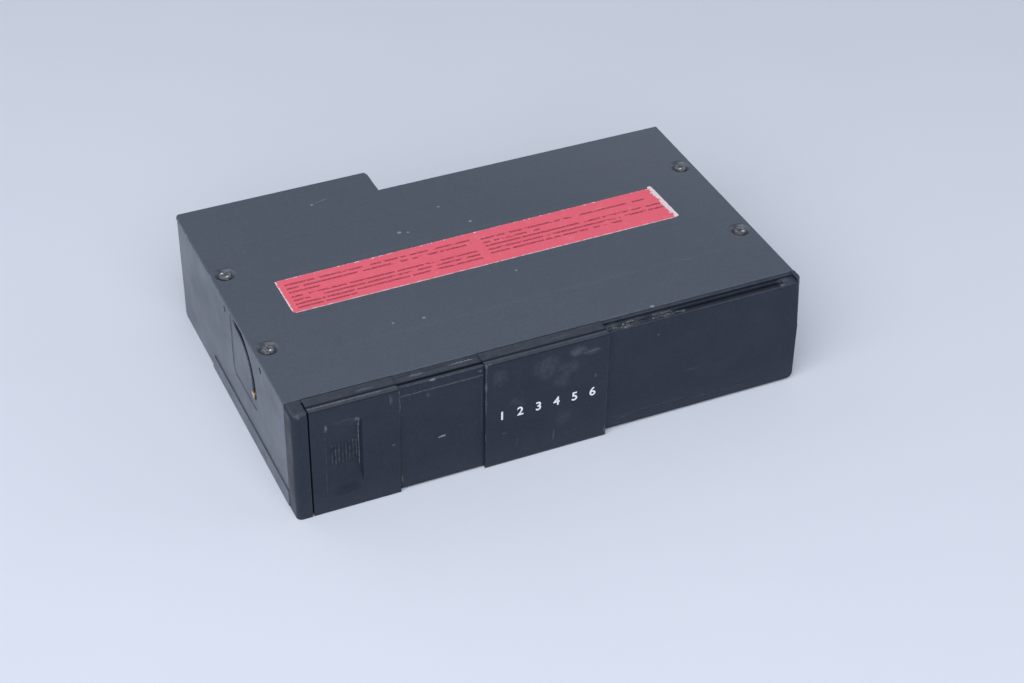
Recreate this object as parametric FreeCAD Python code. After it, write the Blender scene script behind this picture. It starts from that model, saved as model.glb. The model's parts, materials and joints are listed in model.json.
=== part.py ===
import FreeCAD, Part
import math
import os
from FreeCAD import Vector

# Car CD changer: a flat box for the boot, with a six-disc magazine behind a telescoping front door.
# All shapes are drawn in millimetres in the case's own frame: x = 0 is the left side, y = 0 is the
# front edge of the sheet-metal cover, z = 0 is the underside. export() then moves them so that the
# origin is the middle of the footprint, with the front facing -Y and +Z up.

# Case
WIDTH = 255.0
HEIGHT = 59.2
DEPTH_LEFT = 159.8
DEPTH_RIGHT = 141.9
NOTCH_X = 99.5
NOTCH_CORNER = (1.0, 2.5)
REAR_CORNER = (1.5, 2.0)
COVER_EDGE_RADIUS = 0.8
FRONT_Y = -10.8
SHEET = 1.0
WALL = 1.2
WALL_X = 0.6
LIP_HEIGHT = 8.5
LIP_END_Y = 112.0
SCREW_INSET = 7.0
BASE_SCREW_INSET = 4.6
SCREW_YS = (39.8, 102.0)
BASE_SCREW_YS = (25.0, 125.0)
BRACKET_HOLE_YS = (33.0, 84.0)
BRACKET_HOLE_Z = 53.5
BRACKET_HOLE_R = 1.65
TAB_YS = (33.0, 84.0)
FLANGE_Z = 55.5
LABEL_THICKNESS = 0.12
PRESSING_RISE = 0.2
PRESSING_SLOPES = (6.0, 1.8)
PRESSING_X = (16.0, 239.0)
PRESSING_YS = ((27.6, 57.5), (90.6, 119.2))

# Front bezel and its two sliding panels
CHEEK_X = (0.3, 7.4)
BEZEL_Z = (0.9, 57.4)
BEZEL_FACE_Y = -7.9
BEZEL_BACK_Y = -5.9
END_CAP_X = 252.8
END_CAP_TOP = 59.1
ROLLED_CORNER_Z = 33.0
ROLLED_CORNER_RADII = (0.3, 3.6)
RIM_Y = (-1.9, -0.2)
RIM_TOP = 58.6
THIN_FACE_Y = -9.3
THIN_BACK_Y = -8.2
MOUTH_X = (8.6, 147.6)
MOUTH_Z = (9.0, 48.5)
DOOR_X = (8.2, 49.8)
DOOR_TONGUE_END_X = 96.0
TONGUE_Z = (0.75, 58.6)
TONGUE_LIP_Y = (-9.3, -2.1)
TONGUE_LIP_THICKNESS = 0.95
TONGUE_GROOVE_Y = (-7.7, -6.2)
CENTRE_X = (91.3, 152.6)
PANEL_Z = (0.0, 59.4)
LIP_THICKNESS = 0.65
LIP_BACK_Y = -0.5
LIP_GAP = 0.3
GRIP_X = (15.0, 32.2)
GRIP_Z = (11.0, 50.5)
RUNNER_Y = (-5.0, -3.8)
RUNNER_END_X = 246.5
RIB_SETBACK = 6.4

# Hanging adjusters, one on each side wall
PIVOT_Y = 70.0
PIVOT_Z = 30.5
SLOT_RADIUS = 24.2
SLOT_HALF_WIDTH = 2.7
STUD_RADIUS = 1.9
REST_ANGLE = 179.5

# Disc magazine
MAG_X = (9.6, 146.6)
MAG_Y = (-5.5, 128.0)
MAG_Z = (11.4, 45.0)
TRAY_COUNT = 6
TRAY_PITCH = 5.0
TRAY_FIRST_Z = 14.0
TRAY_X = (20.5, 145.5)
TRAY_Y = (0.3, 124.3)
DISC_RADIUS = 60.0
DISC_HOLE_R = 7.5
DISC_THICKNESS = 1.2
DISC_X = 83.0
DISC_Y = 62.0
TRAY_TRAVEL = 91.0

# Mechanism frame
FRAME_X = (7.8, 247.2)
FRAME_Y = (2.0, 140.3)
FRAME_Z = (2.0, 52.2)

# Lifting deck, drawn at its lowest position
DECK_X = (150.0, 243.5)
DECK_Y = (8.0, 136.0)
DECK_Z = 7.5
LIFT = 28.4
SPINDLE_X = DISC_X + TRAY_TRAVEL
TABLE_TOP_Z = 11.5
POSTS = ((154.0, 131.5), (240.0, 131.5), (240.0, 10.0))
POST_R = 1.5
RUNNING_GAP = 0.05
CLAMP_HINGE_Y = 130.0
CLAMP_HINGE_Z = 15.0
CLAMP_OPEN_ANGLE = 4.5
ROD_XS = (164.5, 184.5)
ROD_Z = 5.6
SLED_SCREW_X = 193.5
SLED_Y = (76.2, 94.2)
SLED_Z = (3.6, 9.0)

# Lift drive
CAM_X = (244.6, 245.6)
CAM_Y = (11.0, 93.0)
CAM_Z = (5.5, 42.4)
CAM_TRAVEL = 32.0
PIN_YS = (48.0, 88.0)
PIN_Z = 10.5
RACK_MODULE = 0.8
RACK_PITCH_Z = 43.4
PINION_TEETH = 12
GEAR_MODULE = 0.6
LIFT_GEAR_TEETH = 28
MOTOR_TEETH = 10
LIFT_GEAR_Y = 70.0

# Tray drive along the back
PUSHER_Y = 137.6
PUSHER_ROD_Z = 41.5
PUSHER_SCREW_Z = 47.5
SCREW_GEAR_TEETH = 20

# Eject button and latch
BUTTON_X = (138.0, 149.0)
BUTTON_Z = (50.2, 54.8)
LATCH_PIVOT = (134.0, 22.0)
LATCH_Z = (46.2, 47.4)

# Electronics
BOARD_X = (27.0, 129.0)
BOARD_Y = (7.0, 123.0)
BOARD_Z = (5.2, 6.8)
BOSS_POINTS = ((34.0, 14.0), (122.0, 14.0), (34.0, 116.0), (122.0, 116.0))
DATA_SOCKET = (150.8, 40.0)
POWER_SOCKET_Y = (145.8, 155.8)
POWER_SOCKET_Z = (13.0, 25.0)

AXES = {"x": Vector(1, 0, 0), "y": Vector(0, 1, 0), "z": Vector(0, 0, 1)}
OFFSET = Vector(-WIDTH / 2, -(FRONT_Y + DEPTH_LEFT) / 2, 0)


def point(axis, along, centre):
    """Point at a distance along an axis, at the two other coordinates in x, y, z order."""
    if axis == "x":
        return Vector(along, centre[0], centre[1])
    if axis == "y":
        return Vector(centre[0], along, centre[1])
    return Vector(centre[0], centre[1], along)


def block(x, y, z):
    """Box between two values on each axis."""
    return Part.makeBox(x[1] - x[0], y[1] - y[0], z[1] - z[0], Vector(x[0], y[0], z[0]))


def rod(axis, centre, span, radius):
    """Cylinder along an axis."""
    return Part.makeCylinder(radius, span[1] - span[0], point(axis, span[0], centre), AXES[axis])


def cone(centre, span, radius_low, radius_high):
    """Upright cone frustum."""
    base = Vector(centre[0], centre[1], span[0])
    return Part.makeCone(radius_low, radius_high, span[1] - span[0], base, AXES["z"])


def prism(axis, points, span):
    """Closed outline, given by its two coordinates, extruded along an axis."""
    corners = [point(axis, span[0], p) for p in points]
    face = Part.Face(Part.makePolygon(corners + corners[:1]))
    return face.extrude(AXES[axis] * (span[1] - span[0]))


def soft_block(x, y, z, axis, radius):
    """Box with its four edges along one axis rounded."""
    shape = block(x, y, z)
    return shape.makeFillet(radius, edges_along(shape, axis))


def edges_along(shape, axis):
    """Straight edges of a shape that run along an axis."""
    straight = [e for e in shape.Edges if e.Curve.TypeId == "Part::GeomLine"]
    return [e for e in straight if e.tangentAt(e.FirstParameter).cross(AXES[axis]).Length < 1e-6]


def edges_near(shape, axis, centre):
    """Edges along an axis whose two other coordinates match a point."""
    found = []
    for edge in edges_along(shape, axis):
        middle = edge.CenterOfMass
        if (middle - point(axis, getattr(middle, axis), centre)).Length < 0.01:
            found.append(edge)
    return found


def top_edges_at(shape, x):
    """Edges of a shape's top that run along y at an x."""
    line = Vector(x, 0, shape.BoundBox.ZMax)
    return [e for e in edges_along(shape, "y") if e.CenterOfMass.distanceToLine(line, AXES["y"]) < 0.01]


def joined(shapes):
    """One solid from pieces that overlap or touch."""
    return shapes[0].multiFuse(shapes[1:]).removeSplitter()


def drilled(shape, axis, centres, span, radius):
    """A shape with round holes along an axis."""
    return shape.cut(Part.makeCompound([rod(axis, c, span, radius) for c in centres]))


def capsule(axis, start, end, span, half_width):
    """Straight slot-shaped bar between two points of the plane across an axis."""
    run = Vector(end[0] - start[0], end[1] - start[1], 0)
    side = Vector(-run.y, run.x, 0).normalize() * half_width
    corners = [(start[0] + side.x, start[1] + side.y), (end[0] + side.x, end[1] + side.y),
               (end[0] - side.x, end[1] - side.y), (start[0] - side.x, start[1] - side.y)]
    ends = [rod(axis, start, span, half_width), rod(axis, end, span, half_width)]
    return joined([prism(axis, corners, span)] + ends)


def gear(centre, span, teeth, module, tooth_angle):
    """Spur gear along X with straight-flanked teeth; one tooth points at tooth_angle degrees from +Y."""
    pitch_radius = module * teeth / 2
    pitch_angle = 2 * math.pi / teeth
    profile = ((-0.30, -1.2), (-0.20, 0.0), (-0.10, 0.8), (0.10, 0.8), (0.20, 0.0), (0.30, -1.2))
    outline = []
    for tooth in range(teeth):
        for across, height in profile:
            angle = math.radians(tooth_angle) + (tooth + across) * pitch_angle
            radius = pitch_radius + height * module
            outline.append((centre[0] + radius * math.cos(angle), centre[1] + radius * math.sin(angle)))
    return prism("x", outline, span)


def coil(start, direction, length, radius, wire, turns):
    """Close-wound helical spring between two points on its axis."""
    pitch = length / turns
    helix = Part.makeHelix(pitch, length, radius)
    section = Part.Wire(Part.makeCircle(wire, Vector(radius, 0, 0), Vector(0, 1, 0)))
    spring = Part.Wire(helix).makePipeShell([section], True, True)
    spring.Placement = FreeCAD.Placement(start, FreeCAD.Rotation(AXES["z"], direction))
    return spring


def mirrored(shape):
    """Copy on the other side of the case's middle plane."""
    return shape.mirror(Vector(WIDTH / 2, 0, 0), AXES["x"])


def case_outline(inset, front):
    """Plan outline of the case with the connector notch behind its right part."""
    left, right = inset, WIDTH - inset
    step = NOTCH_X - inset
    back = DEPTH_LEFT - inset
    return [(left, front), (right, front), (right, DEPTH_RIGHT - inset), (step, DEPTH_RIGHT - inset),
            (step, back - NOTCH_CORNER[1]), (step - NOTCH_CORNER[0], back), (left + REAR_CORNER[0], back),
            (left, back - REAR_CORNER[1])]


def swage(x, y, z, corner, width):
    """Shallow groove along a rounded rectangle, pressed in to stiffen a sheet."""
    outer = soft_block(x, y, z, "z", corner)
    inner_x = (x[0] + width, x[1] - width)
    inner_y = (y[0] + width, y[1] - width)
    return outer.cut(soft_block(inner_x, inner_y, z, "z", corner - width))


def plateau(x, y, z, corner, slopes):
    """Low raised panel with rounded corners and a rim that slopes over two lengths, along x and along y."""
    inner_x = (x[0] + slopes[0], x[1] - slopes[0])
    inner_y = (y[0] + slopes[1], y[1] - slopes[1])
    foot = soft_block(x, y, (z[0] - 1, z[0]), "z", corner)
    crown = soft_block(inner_x, inner_y, (z[0], z[1]), "z", corner - slopes[1])
    rims = [max(shape.Faces, key=lambda face: face.CenterOfMass.z).OuterWire for shape in (foot, crown)]
    return Part.makeLoft(rims, True, True)


def side_points(inset, ys):
    """Plan positions near both side walls."""
    return [(x, y) for x in (inset, WIDTH - inset) for y in ys]


# ---------------------------------------------------------------- case

def base_tray():
    """Bottom sheet with a lip folded up outside each side wall."""
    sheet = prism("z", case_outline(WALL_X, 0.3), (0, SHEET))
    lip = block((0, WALL_X), (0.3, LIP_END_Y), (0, LIP_HEIGHT))
    lip = lip.makeChamfer(3.0, edges_near(lip, "x", (LIP_END_Y, LIP_HEIGHT)))
    for y in TAB_YS:
        lip = lip.cut(block((-1, 1), (y - 2.0, y + 2.0), (3.2, 6.0)))
    tray = joined([sheet, lip, mirrored(lip)])
    tray = tray.cut(swage((20, 235), (16, 126), (0, 0.35), 12.0, 2.0))
    heads = [cone(c, (0, SHEET), 2.8, 1.5) for c in side_points(BASE_SCREW_INSET, BASE_SCREW_YS)]
    return tray.cut(Part.makeCompound(heads))


def side_wall_sheet():
    """Left side wall: sheet with a turned-in foot, screw tabs, catches, bracket holes and the arc slot."""
    inner = WALL_X + WALL
    sheet = block((WALL_X, inner), (0.3, DEPTH_LEFT - WALL), (SHEET, HEIGHT - SHEET))
    foot = block((inner, 7.4), (6, 136), (SHEET, SHEET + WALL))
    pieces = [sheet, foot]
    for y in SCREW_YS:
        pieces.append(block((inner, 12.5), (y - 6.0, y + 6.0), (FLANGE_Z, FLANGE_Z + WALL)))
    for y in BRACKET_HOLE_YS:
        pieces.append(rod("x", (y, BRACKET_HOLE_Z), (inner - 0.2, 4.4), 2.9))
    for y in TAB_YS:
        pieces.append(block((0.1, WALL_X + 0.1), (y - 1.7, y + 1.7), (3.5, 5.7)))
    wall = joined(pieces)
    pressed = soft_block((WALL_X - 1, WALL_X + 0.35), (41.5, 76.5), (22.5, 57.3), "x", 4.0)
    wall = wall.cut(pressed)
    wall = drilled(wall, "x", [(y, BRACKET_HOLE_Z) for y in BRACKET_HOLE_YS], (-1, 6), BRACKET_HOLE_R)
    wall = drilled(wall, "z", [(SCREW_INSET, y) for y in SCREW_YS], (50, 60), 1.25)
    wall = drilled(wall, "z", [(BASE_SCREW_INSET, y) for y in BASE_SCREW_YS], (0, 4), 1.25)
    return wall.cut(arc_slot())


def arc_slot():
    """Quarter-circle slot about the adjuster's pivot, from straight ahead to straight up."""
    centre = (PIVOT_Y, PIVOT_Z)
    outer = rod("x", centre, (-1, 5), SLOT_RADIUS + SLOT_HALF_WIDTH)
    ring = outer.cut(rod("x", centre, (-1, 5), SLOT_RADIUS - SLOT_HALF_WIDTH))
    reach = SLOT_RADIUS + SLOT_HALF_WIDTH + 1
    quarter = ring.common(block((-1, 5), (PIVOT_Y - reach, PIVOT_Y), (PIVOT_Z, PIVOT_Z + reach)))
    ends = [rod("x", (PIVOT_Y - SLOT_RADIUS, PIVOT_Z), (-1, 5), SLOT_HALF_WIDTH),
            rod("x", (PIVOT_Y, PIVOT_Z + SLOT_RADIUS), (-1, 5), SLOT_HALF_WIDTH)]
    return joined([quarter] + ends)


def right_side_sheet():
    """Right side wall: the left one mirrored, and shorter because of the notch."""
    wall = mirrored(side_wall_sheet())
    cut_from = DEPTH_RIGHT - WALL
    return wall.cut(block((WIDTH - 3, WIDTH), (cut_from, DEPTH_LEFT), (0, HEIGHT)))


def rear_panel():
    """Back sheet, folded twice to follow the notch, with the two socket openings in the step."""
    z = (SHEET, HEIGHT - SHEET)
    step = (NOTCH_X - WALL, NOTCH_X)
    left_back = block((WALL_X, NOTCH_X), (DEPTH_LEFT - WALL, DEPTH_LEFT), z)
    side = block(step, (DEPTH_RIGHT - WALL, DEPTH_LEFT), z)
    right_back = block((step[0], WIDTH - WALL_X), (DEPTH_RIGHT - WALL, DEPTH_RIGHT), z)
    panel = joined([left_back, side, right_back]).common(prism("z", case_outline(0.0, 0.0), z))
    lug = block((NOTCH_X - 0.2, NOTCH_X + 1.5), (146.0, 150.0), (50.5, 56.5))
    panel = joined([panel, lug.makeFillet(0.6, edges_along(lug, "z"))])
    panel = panel.cut(rod("x", DATA_SOCKET, (NOTCH_X - 3, NOTCH_X + 1), 6.6))
    panel = panel.cut(block((NOTCH_X - 3, NOTCH_X + 1), POWER_SOCKET_Y, POWER_SOCKET_Z))
    vents = [block((x, x + 2.0), (DEPTH_RIGHT - 3, DEPTH_RIGHT + 1), (24, 46)) for x in range(176, 232, 6)]
    return panel.cut(Part.makeCompound(vents))


def top_cover():
    """Top sheet with four dished screw seats and two low pressed panels beside the label's flat band."""
    sheet = prism("z", case_outline(0.0, 0.0), (HEIGHT - SHEET, HEIGHT))
    sides = top_edges_at(sheet, 0.0) + top_edges_at(sheet, WIDTH)
    sheet = sheet.makeFillet(COVER_EDGE_RADIUS, sides)
    rise = (HEIGHT, HEIGHT + PRESSING_RISE)
    panels = [plateau(PRESSING_X, y, rise, 10.0, PRESSING_SLOPES) for y in PRESSING_YS]
    sheet = joined([sheet] + panels)
    for panel in panels:
        sheet = sheet.cut(panel.translated(Vector(0, 0, -SHEET)))
    seats = side_points(SCREW_INSET, SCREW_YS)
    floor_z = HEIGHT - 1.5
    dishes = [cone(c, (floor_z - SHEET, HEIGHT), 4.0, 5.9) for c in seats]
    sheet = joined([sheet] + dishes)
    hollows = [cone(c, (floor_z, HEIGHT), 3.6, 5.0) for c in seats]
    sheet = sheet.cut(Part.makeCompound(hollows))
    return drilled(sheet, "z", seats, (50, 60), 1.5)


def cross_recess(centre, z):
    """Driver cross cut into a screw head."""
    bars = [block((centre[0] - 1.7, centre[0] + 1.7), (centre[1] - 0.35, centre[1] + 0.35), z),
            block((centre[0] - 0.35, centre[0] + 0.35), (centre[1] - 1.7, centre[1] + 1.7), z)]
    return joined(bars)


def case_screws():
    """Four pan-head cover screws and four countersunk base screws."""
    screws = []
    for centre in side_points(SCREW_INSET, SCREW_YS):
        head = rod("z", centre, (HEIGHT - 1.5, HEIGHT), 3.3)
        rim = [e for e in head.Edges if e.CenterOfMass.z > HEIGHT - 0.01 and e.Length > 10]
        head = head.makeFillet(0.8, rim)
        screw = joined([head, rod("z", centre, (53.2, HEIGHT - 1.4), 1.2)])
        screws.append(screw.cut(cross_recess(centre, (HEIGHT - 0.9, HEIGHT + 1))))
    for centre in side_points(BASE_SCREW_INSET, BASE_SCREW_YS):
        screw = joined([cone(centre, (0, SHEET), 2.7, 1.2), rod("z", centre, (0.5, 5.0), 1.2)])
        screws.append(screw.cut(cross_recess(centre, (-1, 0.6))))
    return Part.makeCompound(screws)


def cover_label():
    """Long red sticker across the cover."""
    label = soft_block((26.3, 226.0), (61.3, 88.7), (HEIGHT, HEIGHT + LABEL_THICKNESS), "z", 1.5)
    label.rotate(Vector(WIDTH / 2, 75, 0), AXES["z"], 0.7)
    return label


# ---------------------------------------------------------------- front

def bezel_outline():
    """Front view of the bezel's plate: its top steps up at the right end cap."""
    return [(CHEEK_X[1] - 1, BEZEL_Z[0]), (WIDTH, BEZEL_Z[0]), (WIDTH, END_CAP_TOP), (END_CAP_X, END_CAP_TOP),
            (END_CAP_X, BEZEL_Z[1]), (CHEEK_X[1] - 1, BEZEL_Z[1])]


def bezel_body():
    """Plate, box-shaped back and end cap in one piece, hollow behind the plate."""
    body = prism("y", bezel_outline(), (BEZEL_FACE_Y, RIM_Y[1]))
    body = body.makeFillet(3.0, edges_near(body, "y", (WIDTH, BEZEL_Z[0])))
    body = body.makeFillet(0.9, edges_near(body, "x", (BEZEL_FACE_Y, BEZEL_Z[1])))
    hollow = block((CHEEK_X[1], WIDTH - 2.2), (BEZEL_BACK_Y, 1), (BEZEL_Z[0] + 1.6, BEZEL_Z[1] - 1.6))
    return body.cut(hollow).cut(rolled_corner())


def corner_section(radius, z):
    """Plan section of what lies outside a rounded corner at the bezel's right end."""
    near = Vector(WIDTH - radius, BEZEL_FACE_Y, z)
    far = Vector(WIDTH, BEZEL_FACE_Y + radius, z)
    middle = Vector(near.x, far.y, z) + Vector(1, -1, 0).normalize() * radius
    outer = [far, Vector(far.x + 1, far.y, z), Vector(far.x + 1, near.y - 1, z),
             Vector(near.x, near.y - 1, z), near]
    return Part.Wire([Part.Arc(near, middle, far).toShape()] + Part.makePolygon(outer).Edges)


def rolled_corner():
    """Waste at the bezel's right end, where its upright edge is rounded more and more towards the top."""
    low, high = ROLLED_CORNER_RADII
    sections = [corner_section(low, ROLLED_CORNER_Z), corner_section(high, END_CAP_TOP)]
    return Part.makeLoft(sections, True, True)


def cheek():
    """Left end of the bezel, as tall as the case, with rounded front and top edges."""
    shape = block(CHEEK_X, (FRONT_Y, 0), (0.0, HEIGHT - 0.3))
    shape = shape.makeFillet(2.6, edges_near(shape, "z", (CHEEK_X[0], FRONT_Y)))
    rim = [e for e in shape.Edges if e.CenterOfMass.z > HEIGHT - 0.4 and e.CenterOfMass.y < -2]
    return shape.makeFillet(2.0, [e for e in rim if e.CenterOfMass.x < CHEEK_X[1] - 0.1])


def front_bezel():
    """Plastic front: plate with the magazine mouth, left cheek, runner slots and a rim along the cover."""
    rim = block((CHEEK_X[1] - 1, END_CAP_X + 1), RIM_Y, (BEZEL_Z[1] - 1.6, RIM_TOP))
    bezel = joined([bezel_body(), cheek(), rim])
    bezel = bezel.cut(block(MOUTH_X, (FRONT_Y, 1), MOUTH_Z))
    hole_x = (BUTTON_X[0] - 0.25, BUTTON_X[1] + 0.25)
    hole_z = (BUTTON_Z[0] - 0.25, BUTTON_Z[1] + 0.25)
    bezel = bezel.cut(block(hole_x, (FRONT_Y, -4), hole_z))
    runner_x = (CHEEK_X[1] + 0.2, RUNNER_END_X)
    slot_y = (RUNNER_Y[0] - 0.2, RUNNER_Y[1] + 0.2)
    slots = [block(runner_x, (slot_y[0], RIM_Y[0]), (BEZEL_Z[1] - 0.4, BEZEL_Z[1] + 1)),
             block(runner_x, slot_y, (BEZEL_Z[1] - 1.0, BEZEL_Z[1] + 1)),
             block(runner_x, slot_y, (BEZEL_Z[0] - 1, BEZEL_Z[0] + 0.9))]
    groove = block((156, 240), (BEZEL_FACE_Y - 1, BEZEL_FACE_Y + 0.25), (5.4, 6.0))
    return bezel.cut(Part.makeCompound(slots + [groove]))


def sliding_lips(x):
    """Top and bottom lips of a sliding panel; the bottom one has a runner rib in the bezel's slot."""
    top = block(x, (FRONT_Y + 1.2, LIP_BACK_Y), (PANEL_Z[1] - LIP_THICKNESS, PANEL_Z[1]))
    bottom = block(x, (FRONT_Y + 1.2, RUNNER_Y[1]), (PANEL_Z[0], BEZEL_Z[0] - LIP_GAP))
    rib = block((x[0], x[1] - RIB_SETBACK), RUNNER_Y, (PANEL_Z[0] + 0.2, BEZEL_Z[0] + 0.6))
    return [top, bottom, rib]


def softened_plate(x, y):
    """Upright panel plate with its front top edge well rounded and its bottom edge eased."""
    plate = block(x, y, PANEL_Z)
    plate = plate.makeFillet(1.0, edges_near(plate, "x", (y[0], PANEL_Z[1])))
    return plate.makeFillet(0.3, edges_near(plate, "x", (y[0], PANEL_Z[0])))


def lip_groove(x):
    """V-shaped groove along the top of a sliding panel, behind its rounded front edge."""
    top = PANEL_Z[1]
    return prism("x", [(-7.9, top + 0.1), (-7.3, top - 0.38), (-6.9, top - 0.38), (-6.1, top + 0.1)], x)


def grip_recess():
    """Finger recess in the door: it deepens to the right and fades out at the top and bottom."""
    plan = [(GRIP_X[0], FRONT_Y - 1), (GRIP_X[0], FRONT_Y + 0.35), (GRIP_X[1] - 1.0, FRONT_Y + 2.1),
            (GRIP_X[1], FRONT_Y + 0.2), (GRIP_X[1], FRONT_Y - 1)]
    side = [(FRONT_Y - 1, GRIP_Z[0]), (FRONT_Y, GRIP_Z[0]), (FRONT_Y + 2.2, GRIP_Z[0] + 7.0),
            (FRONT_Y + 2.2, GRIP_Z[1] - 7.0), (FRONT_Y, GRIP_Z[1]), (FRONT_Y - 1, GRIP_Z[1])]
    return prism("z", plan, GRIP_Z).common(prism("x", side, GRIP_X))


def door_tongue():
    """Thin right part of the door, with its own lip and a deep groove along the top."""
    x = (DOOR_X[1] - 1, DOOR_TONGUE_END_X)
    plate = block(x, (THIN_FACE_Y, THIN_BACK_Y), TONGUE_Z)
    lip = block(x, TONGUE_LIP_Y, (TONGUE_Z[1] - TONGUE_LIP_THICKNESS, TONGUE_Z[1]))
    groove = block((DOOR_X[1], x[1]), TONGUE_GROOVE_Y, (TONGUE_Z[1] - 0.6, TONGUE_Z[1]))
    ridge = block((DOOR_X[1], CENTRE_X[0]), (THIN_FACE_Y - 0.1, THIN_FACE_Y), (53.3, 53.8))
    return joined([plate, lip, ridge]).cut(groove)


def door_panel():
    """Left sliding door: a thick part with a grip recess, and a thin tongue behind the centre panel."""
    thick = softened_plate(DOOR_X, (FRONT_Y, THIN_BACK_Y))
    top_rib = block(DOOR_X, RUNNER_Y, (BEZEL_Z[1] - 0.7, PANEL_Z[1] - LIP_THICKNESS + 0.2))
    door = joined([thick, door_tongue(), top_rib] + sliding_lips(DOOR_X))
    door = door.cut(lip_groove(DOOR_X)).cut(grip_recess())
    ribs = []
    for index in range(8):
        x = GRIP_X[0] + 2.6 + index * 1.7
        depth = FRONT_Y + 0.45 + (x - GRIP_X[0]) * 0.108
        ribs.append(block((x, x + 0.6), (depth - 0.5, depth + 0.5), (26.0, 37.0)))
    return joined([door] + ribs)


def centre_panel():
    """Middle sliding panel over the door's tongue; its top rib runs in the groove of the tongue."""
    plate = softened_plate(CENTRE_X, (FRONT_Y, THIN_FACE_Y - 0.2))
    rib_y = (TONGUE_GROOVE_Y[0] + 0.2, TONGUE_GROOVE_Y[1] - 0.2)
    rib_z = (TONGUE_Z[1] - 0.4, PANEL_Z[1] - LIP_THICKNESS + 0.1)
    rib = block((CENTRE_X[0] + 0.3, CENTRE_X[1]), rib_y, rib_z)
    return joined([plate, rib] + sliding_lips(CENTRE_X)).cut(lip_groove(CENTRE_X))


# ---------------------------------------------------------------- hanging adjusters

def stud_position():
    """Stud centre in the side view, with the adjuster at rest."""
    angle = math.radians(REST_ANGLE)
    return (PIVOT_Y + SLOT_RADIUS * math.cos(angle), PIVOT_Z + SLOT_RADIUS * math.sin(angle))


def adjuster_lever():
    """Flat lever inside the left wall, from the pivot to the stud."""
    lever = capsule("x", (PIVOT_Y, PIVOT_Z), stud_position(), (2.1, 3.2), 3.2)
    lever = drilled(lever, "x", [stud_position()], (0, 5), 1.1)
    return drilled(lever, "x", [(PIVOT_Y, PIVOT_Z)], (0, 5), 2.0 + RUNNING_GAP)


def adjuster_stud():
    """Brass stud through the lever: its head shows in the slot, its tail holds the spring."""
    centre = stud_position()
    head = rod("x", centre, (0.2, 2.1), STUD_RADIUS)
    neck = rod("x", centre, (3.2, 6.6), 1.1)
    return joined([head, rod("x", centre, (2.1, 3.2), 1.1), neck])


def float_spring():
    """Spring that hangs the mechanism from the stud; it turns with the lever about the pivot line."""
    stud = Vector(5.2, stud_position()[0], stud_position()[1])
    pivot = Vector(5.2, PIVOT_Y, PIVOT_Z)
    direction = (stud - pivot).normalize()
    length = (stud - pivot).Length - 6.4
    spring = coil(pivot + direction * 3.2, direction, length, 1.25, 0.3, 12)
    eyes = []
    for centre, inner in ((PIVOT_Y, PIVOT_Z), 1.75), (stud_position(), 1.4):
        eye = rod("x", centre, (4.95, 5.45), inner + 0.5)
        eyes.append(eye.cut(rod("x", centre, (4.9, 5.5), inner)))
    stems = [capsule("x", (PIVOT_Y + 2.0 * direction.y, PIVOT_Z + 2.0 * direction.z),
                     (PIVOT_Y + 3.6 * direction.y, PIVOT_Z + 3.6 * direction.z), (4.95, 5.45), 0.25)]
    far = (stud - direction * 3.6, stud - direction * 1.7)
    stems.append(capsule("x", (far[0].y, far[0].z), (far[1].y, far[1].z), (4.95, 5.45), 0.25))
    return Part.makeCompound([spring, joined([eyes[0], stems[0]]), joined([eyes[1], stems[1]])])


def pivot_pins():
    """Fixed pins: two adjuster pivots, two spring posts, the latch pivot and the lift gear's axle."""
    centre = (PIVOT_Y, PIVOT_Z)
    rivet = joined([rod("x", centre, (WALL_X + WALL, 3.4), 2.0), rod("x", centre, (3.4, 3.8), 2.8)])
    post = rod("x", centre, (4.3, FRAME_X[0]), 1.6)
    latch = rod("z", LATCH_PIVOT, (45.8, 51.0), 1.2)
    axle = rod("x", lift_gear_centre(), (241.2, FRAME_X[1] - WALL), 1.0)
    pins = [rivet, post, mirrored(rivet), mirrored(post), latch, axle]
    return Part.makeCompound(pins)


# ---------------------------------------------------------------- mechanism frame

def mech_base_plate():
    """Floor of the mechanism, open under the lifting deck, with bosses for the circuit board."""
    plate = block(FRAME_X, FRAME_Y, (FRAME_Z[0], FRAME_Z[0] + WALL))
    plate = plate.cut(block((152, 238), (14, 118), (0, 6)))
    bosses = [rod("z", c, (FRAME_Z[0], BOARD_Z[0]), 2.5) for c in BOSS_POINTS]
    return joined([plate] + bosses)


def mech_side_walls():
    """Left and right walls of the mechanism; the left one carries the tray motor behind the magazine."""
    z = (FRAME_Z[0] + WALL, FRAME_Z[1])
    left = block((FRAME_X[0], FRAME_X[0] + WALL), (FRAME_Y[0], 155.0), z)
    left = left.cut(block((0, 20), (MAG_Y[1] + 14, 156), (0, 34)))
    left = drilled(left, "x", [(PUSHER_Y, PUSHER_SCREW_Z)], (0, 20), 1.5)
    left = drilled(left, "x", [(tray_motor_y(), PUSHER_SCREW_Z)], (0, 20), 1.2)
    right = block((FRAME_X[1] - WALL, FRAME_X[1]), FRAME_Y, z)
    right = right.cut(soft_block((240, 250), (103, 127), (17, 41), "x", 4.0))
    return Part.makeCompound([left, right])


def mech_top_frame():
    """U-shaped bridge over the magazine that ties the walls and holds the tops of the guide posts."""
    z = (FRAME_Z[1] - WALL, FRAME_Z[1])
    inner_x = (FRAME_X[0] + WALL, FRAME_X[1] - WALL)
    front = block(inner_x, (9, 30), z)
    back = block(inner_x, (126, FRAME_Y[1]), z)
    side = block((inner_x[0], 24), (9, FRAME_Y[1]), z)
    seat = block((136, 150), (9, 10.2), (FRAME_Z[1] - WALL, 55.2))
    return joined([front, back, side, seat])


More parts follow.
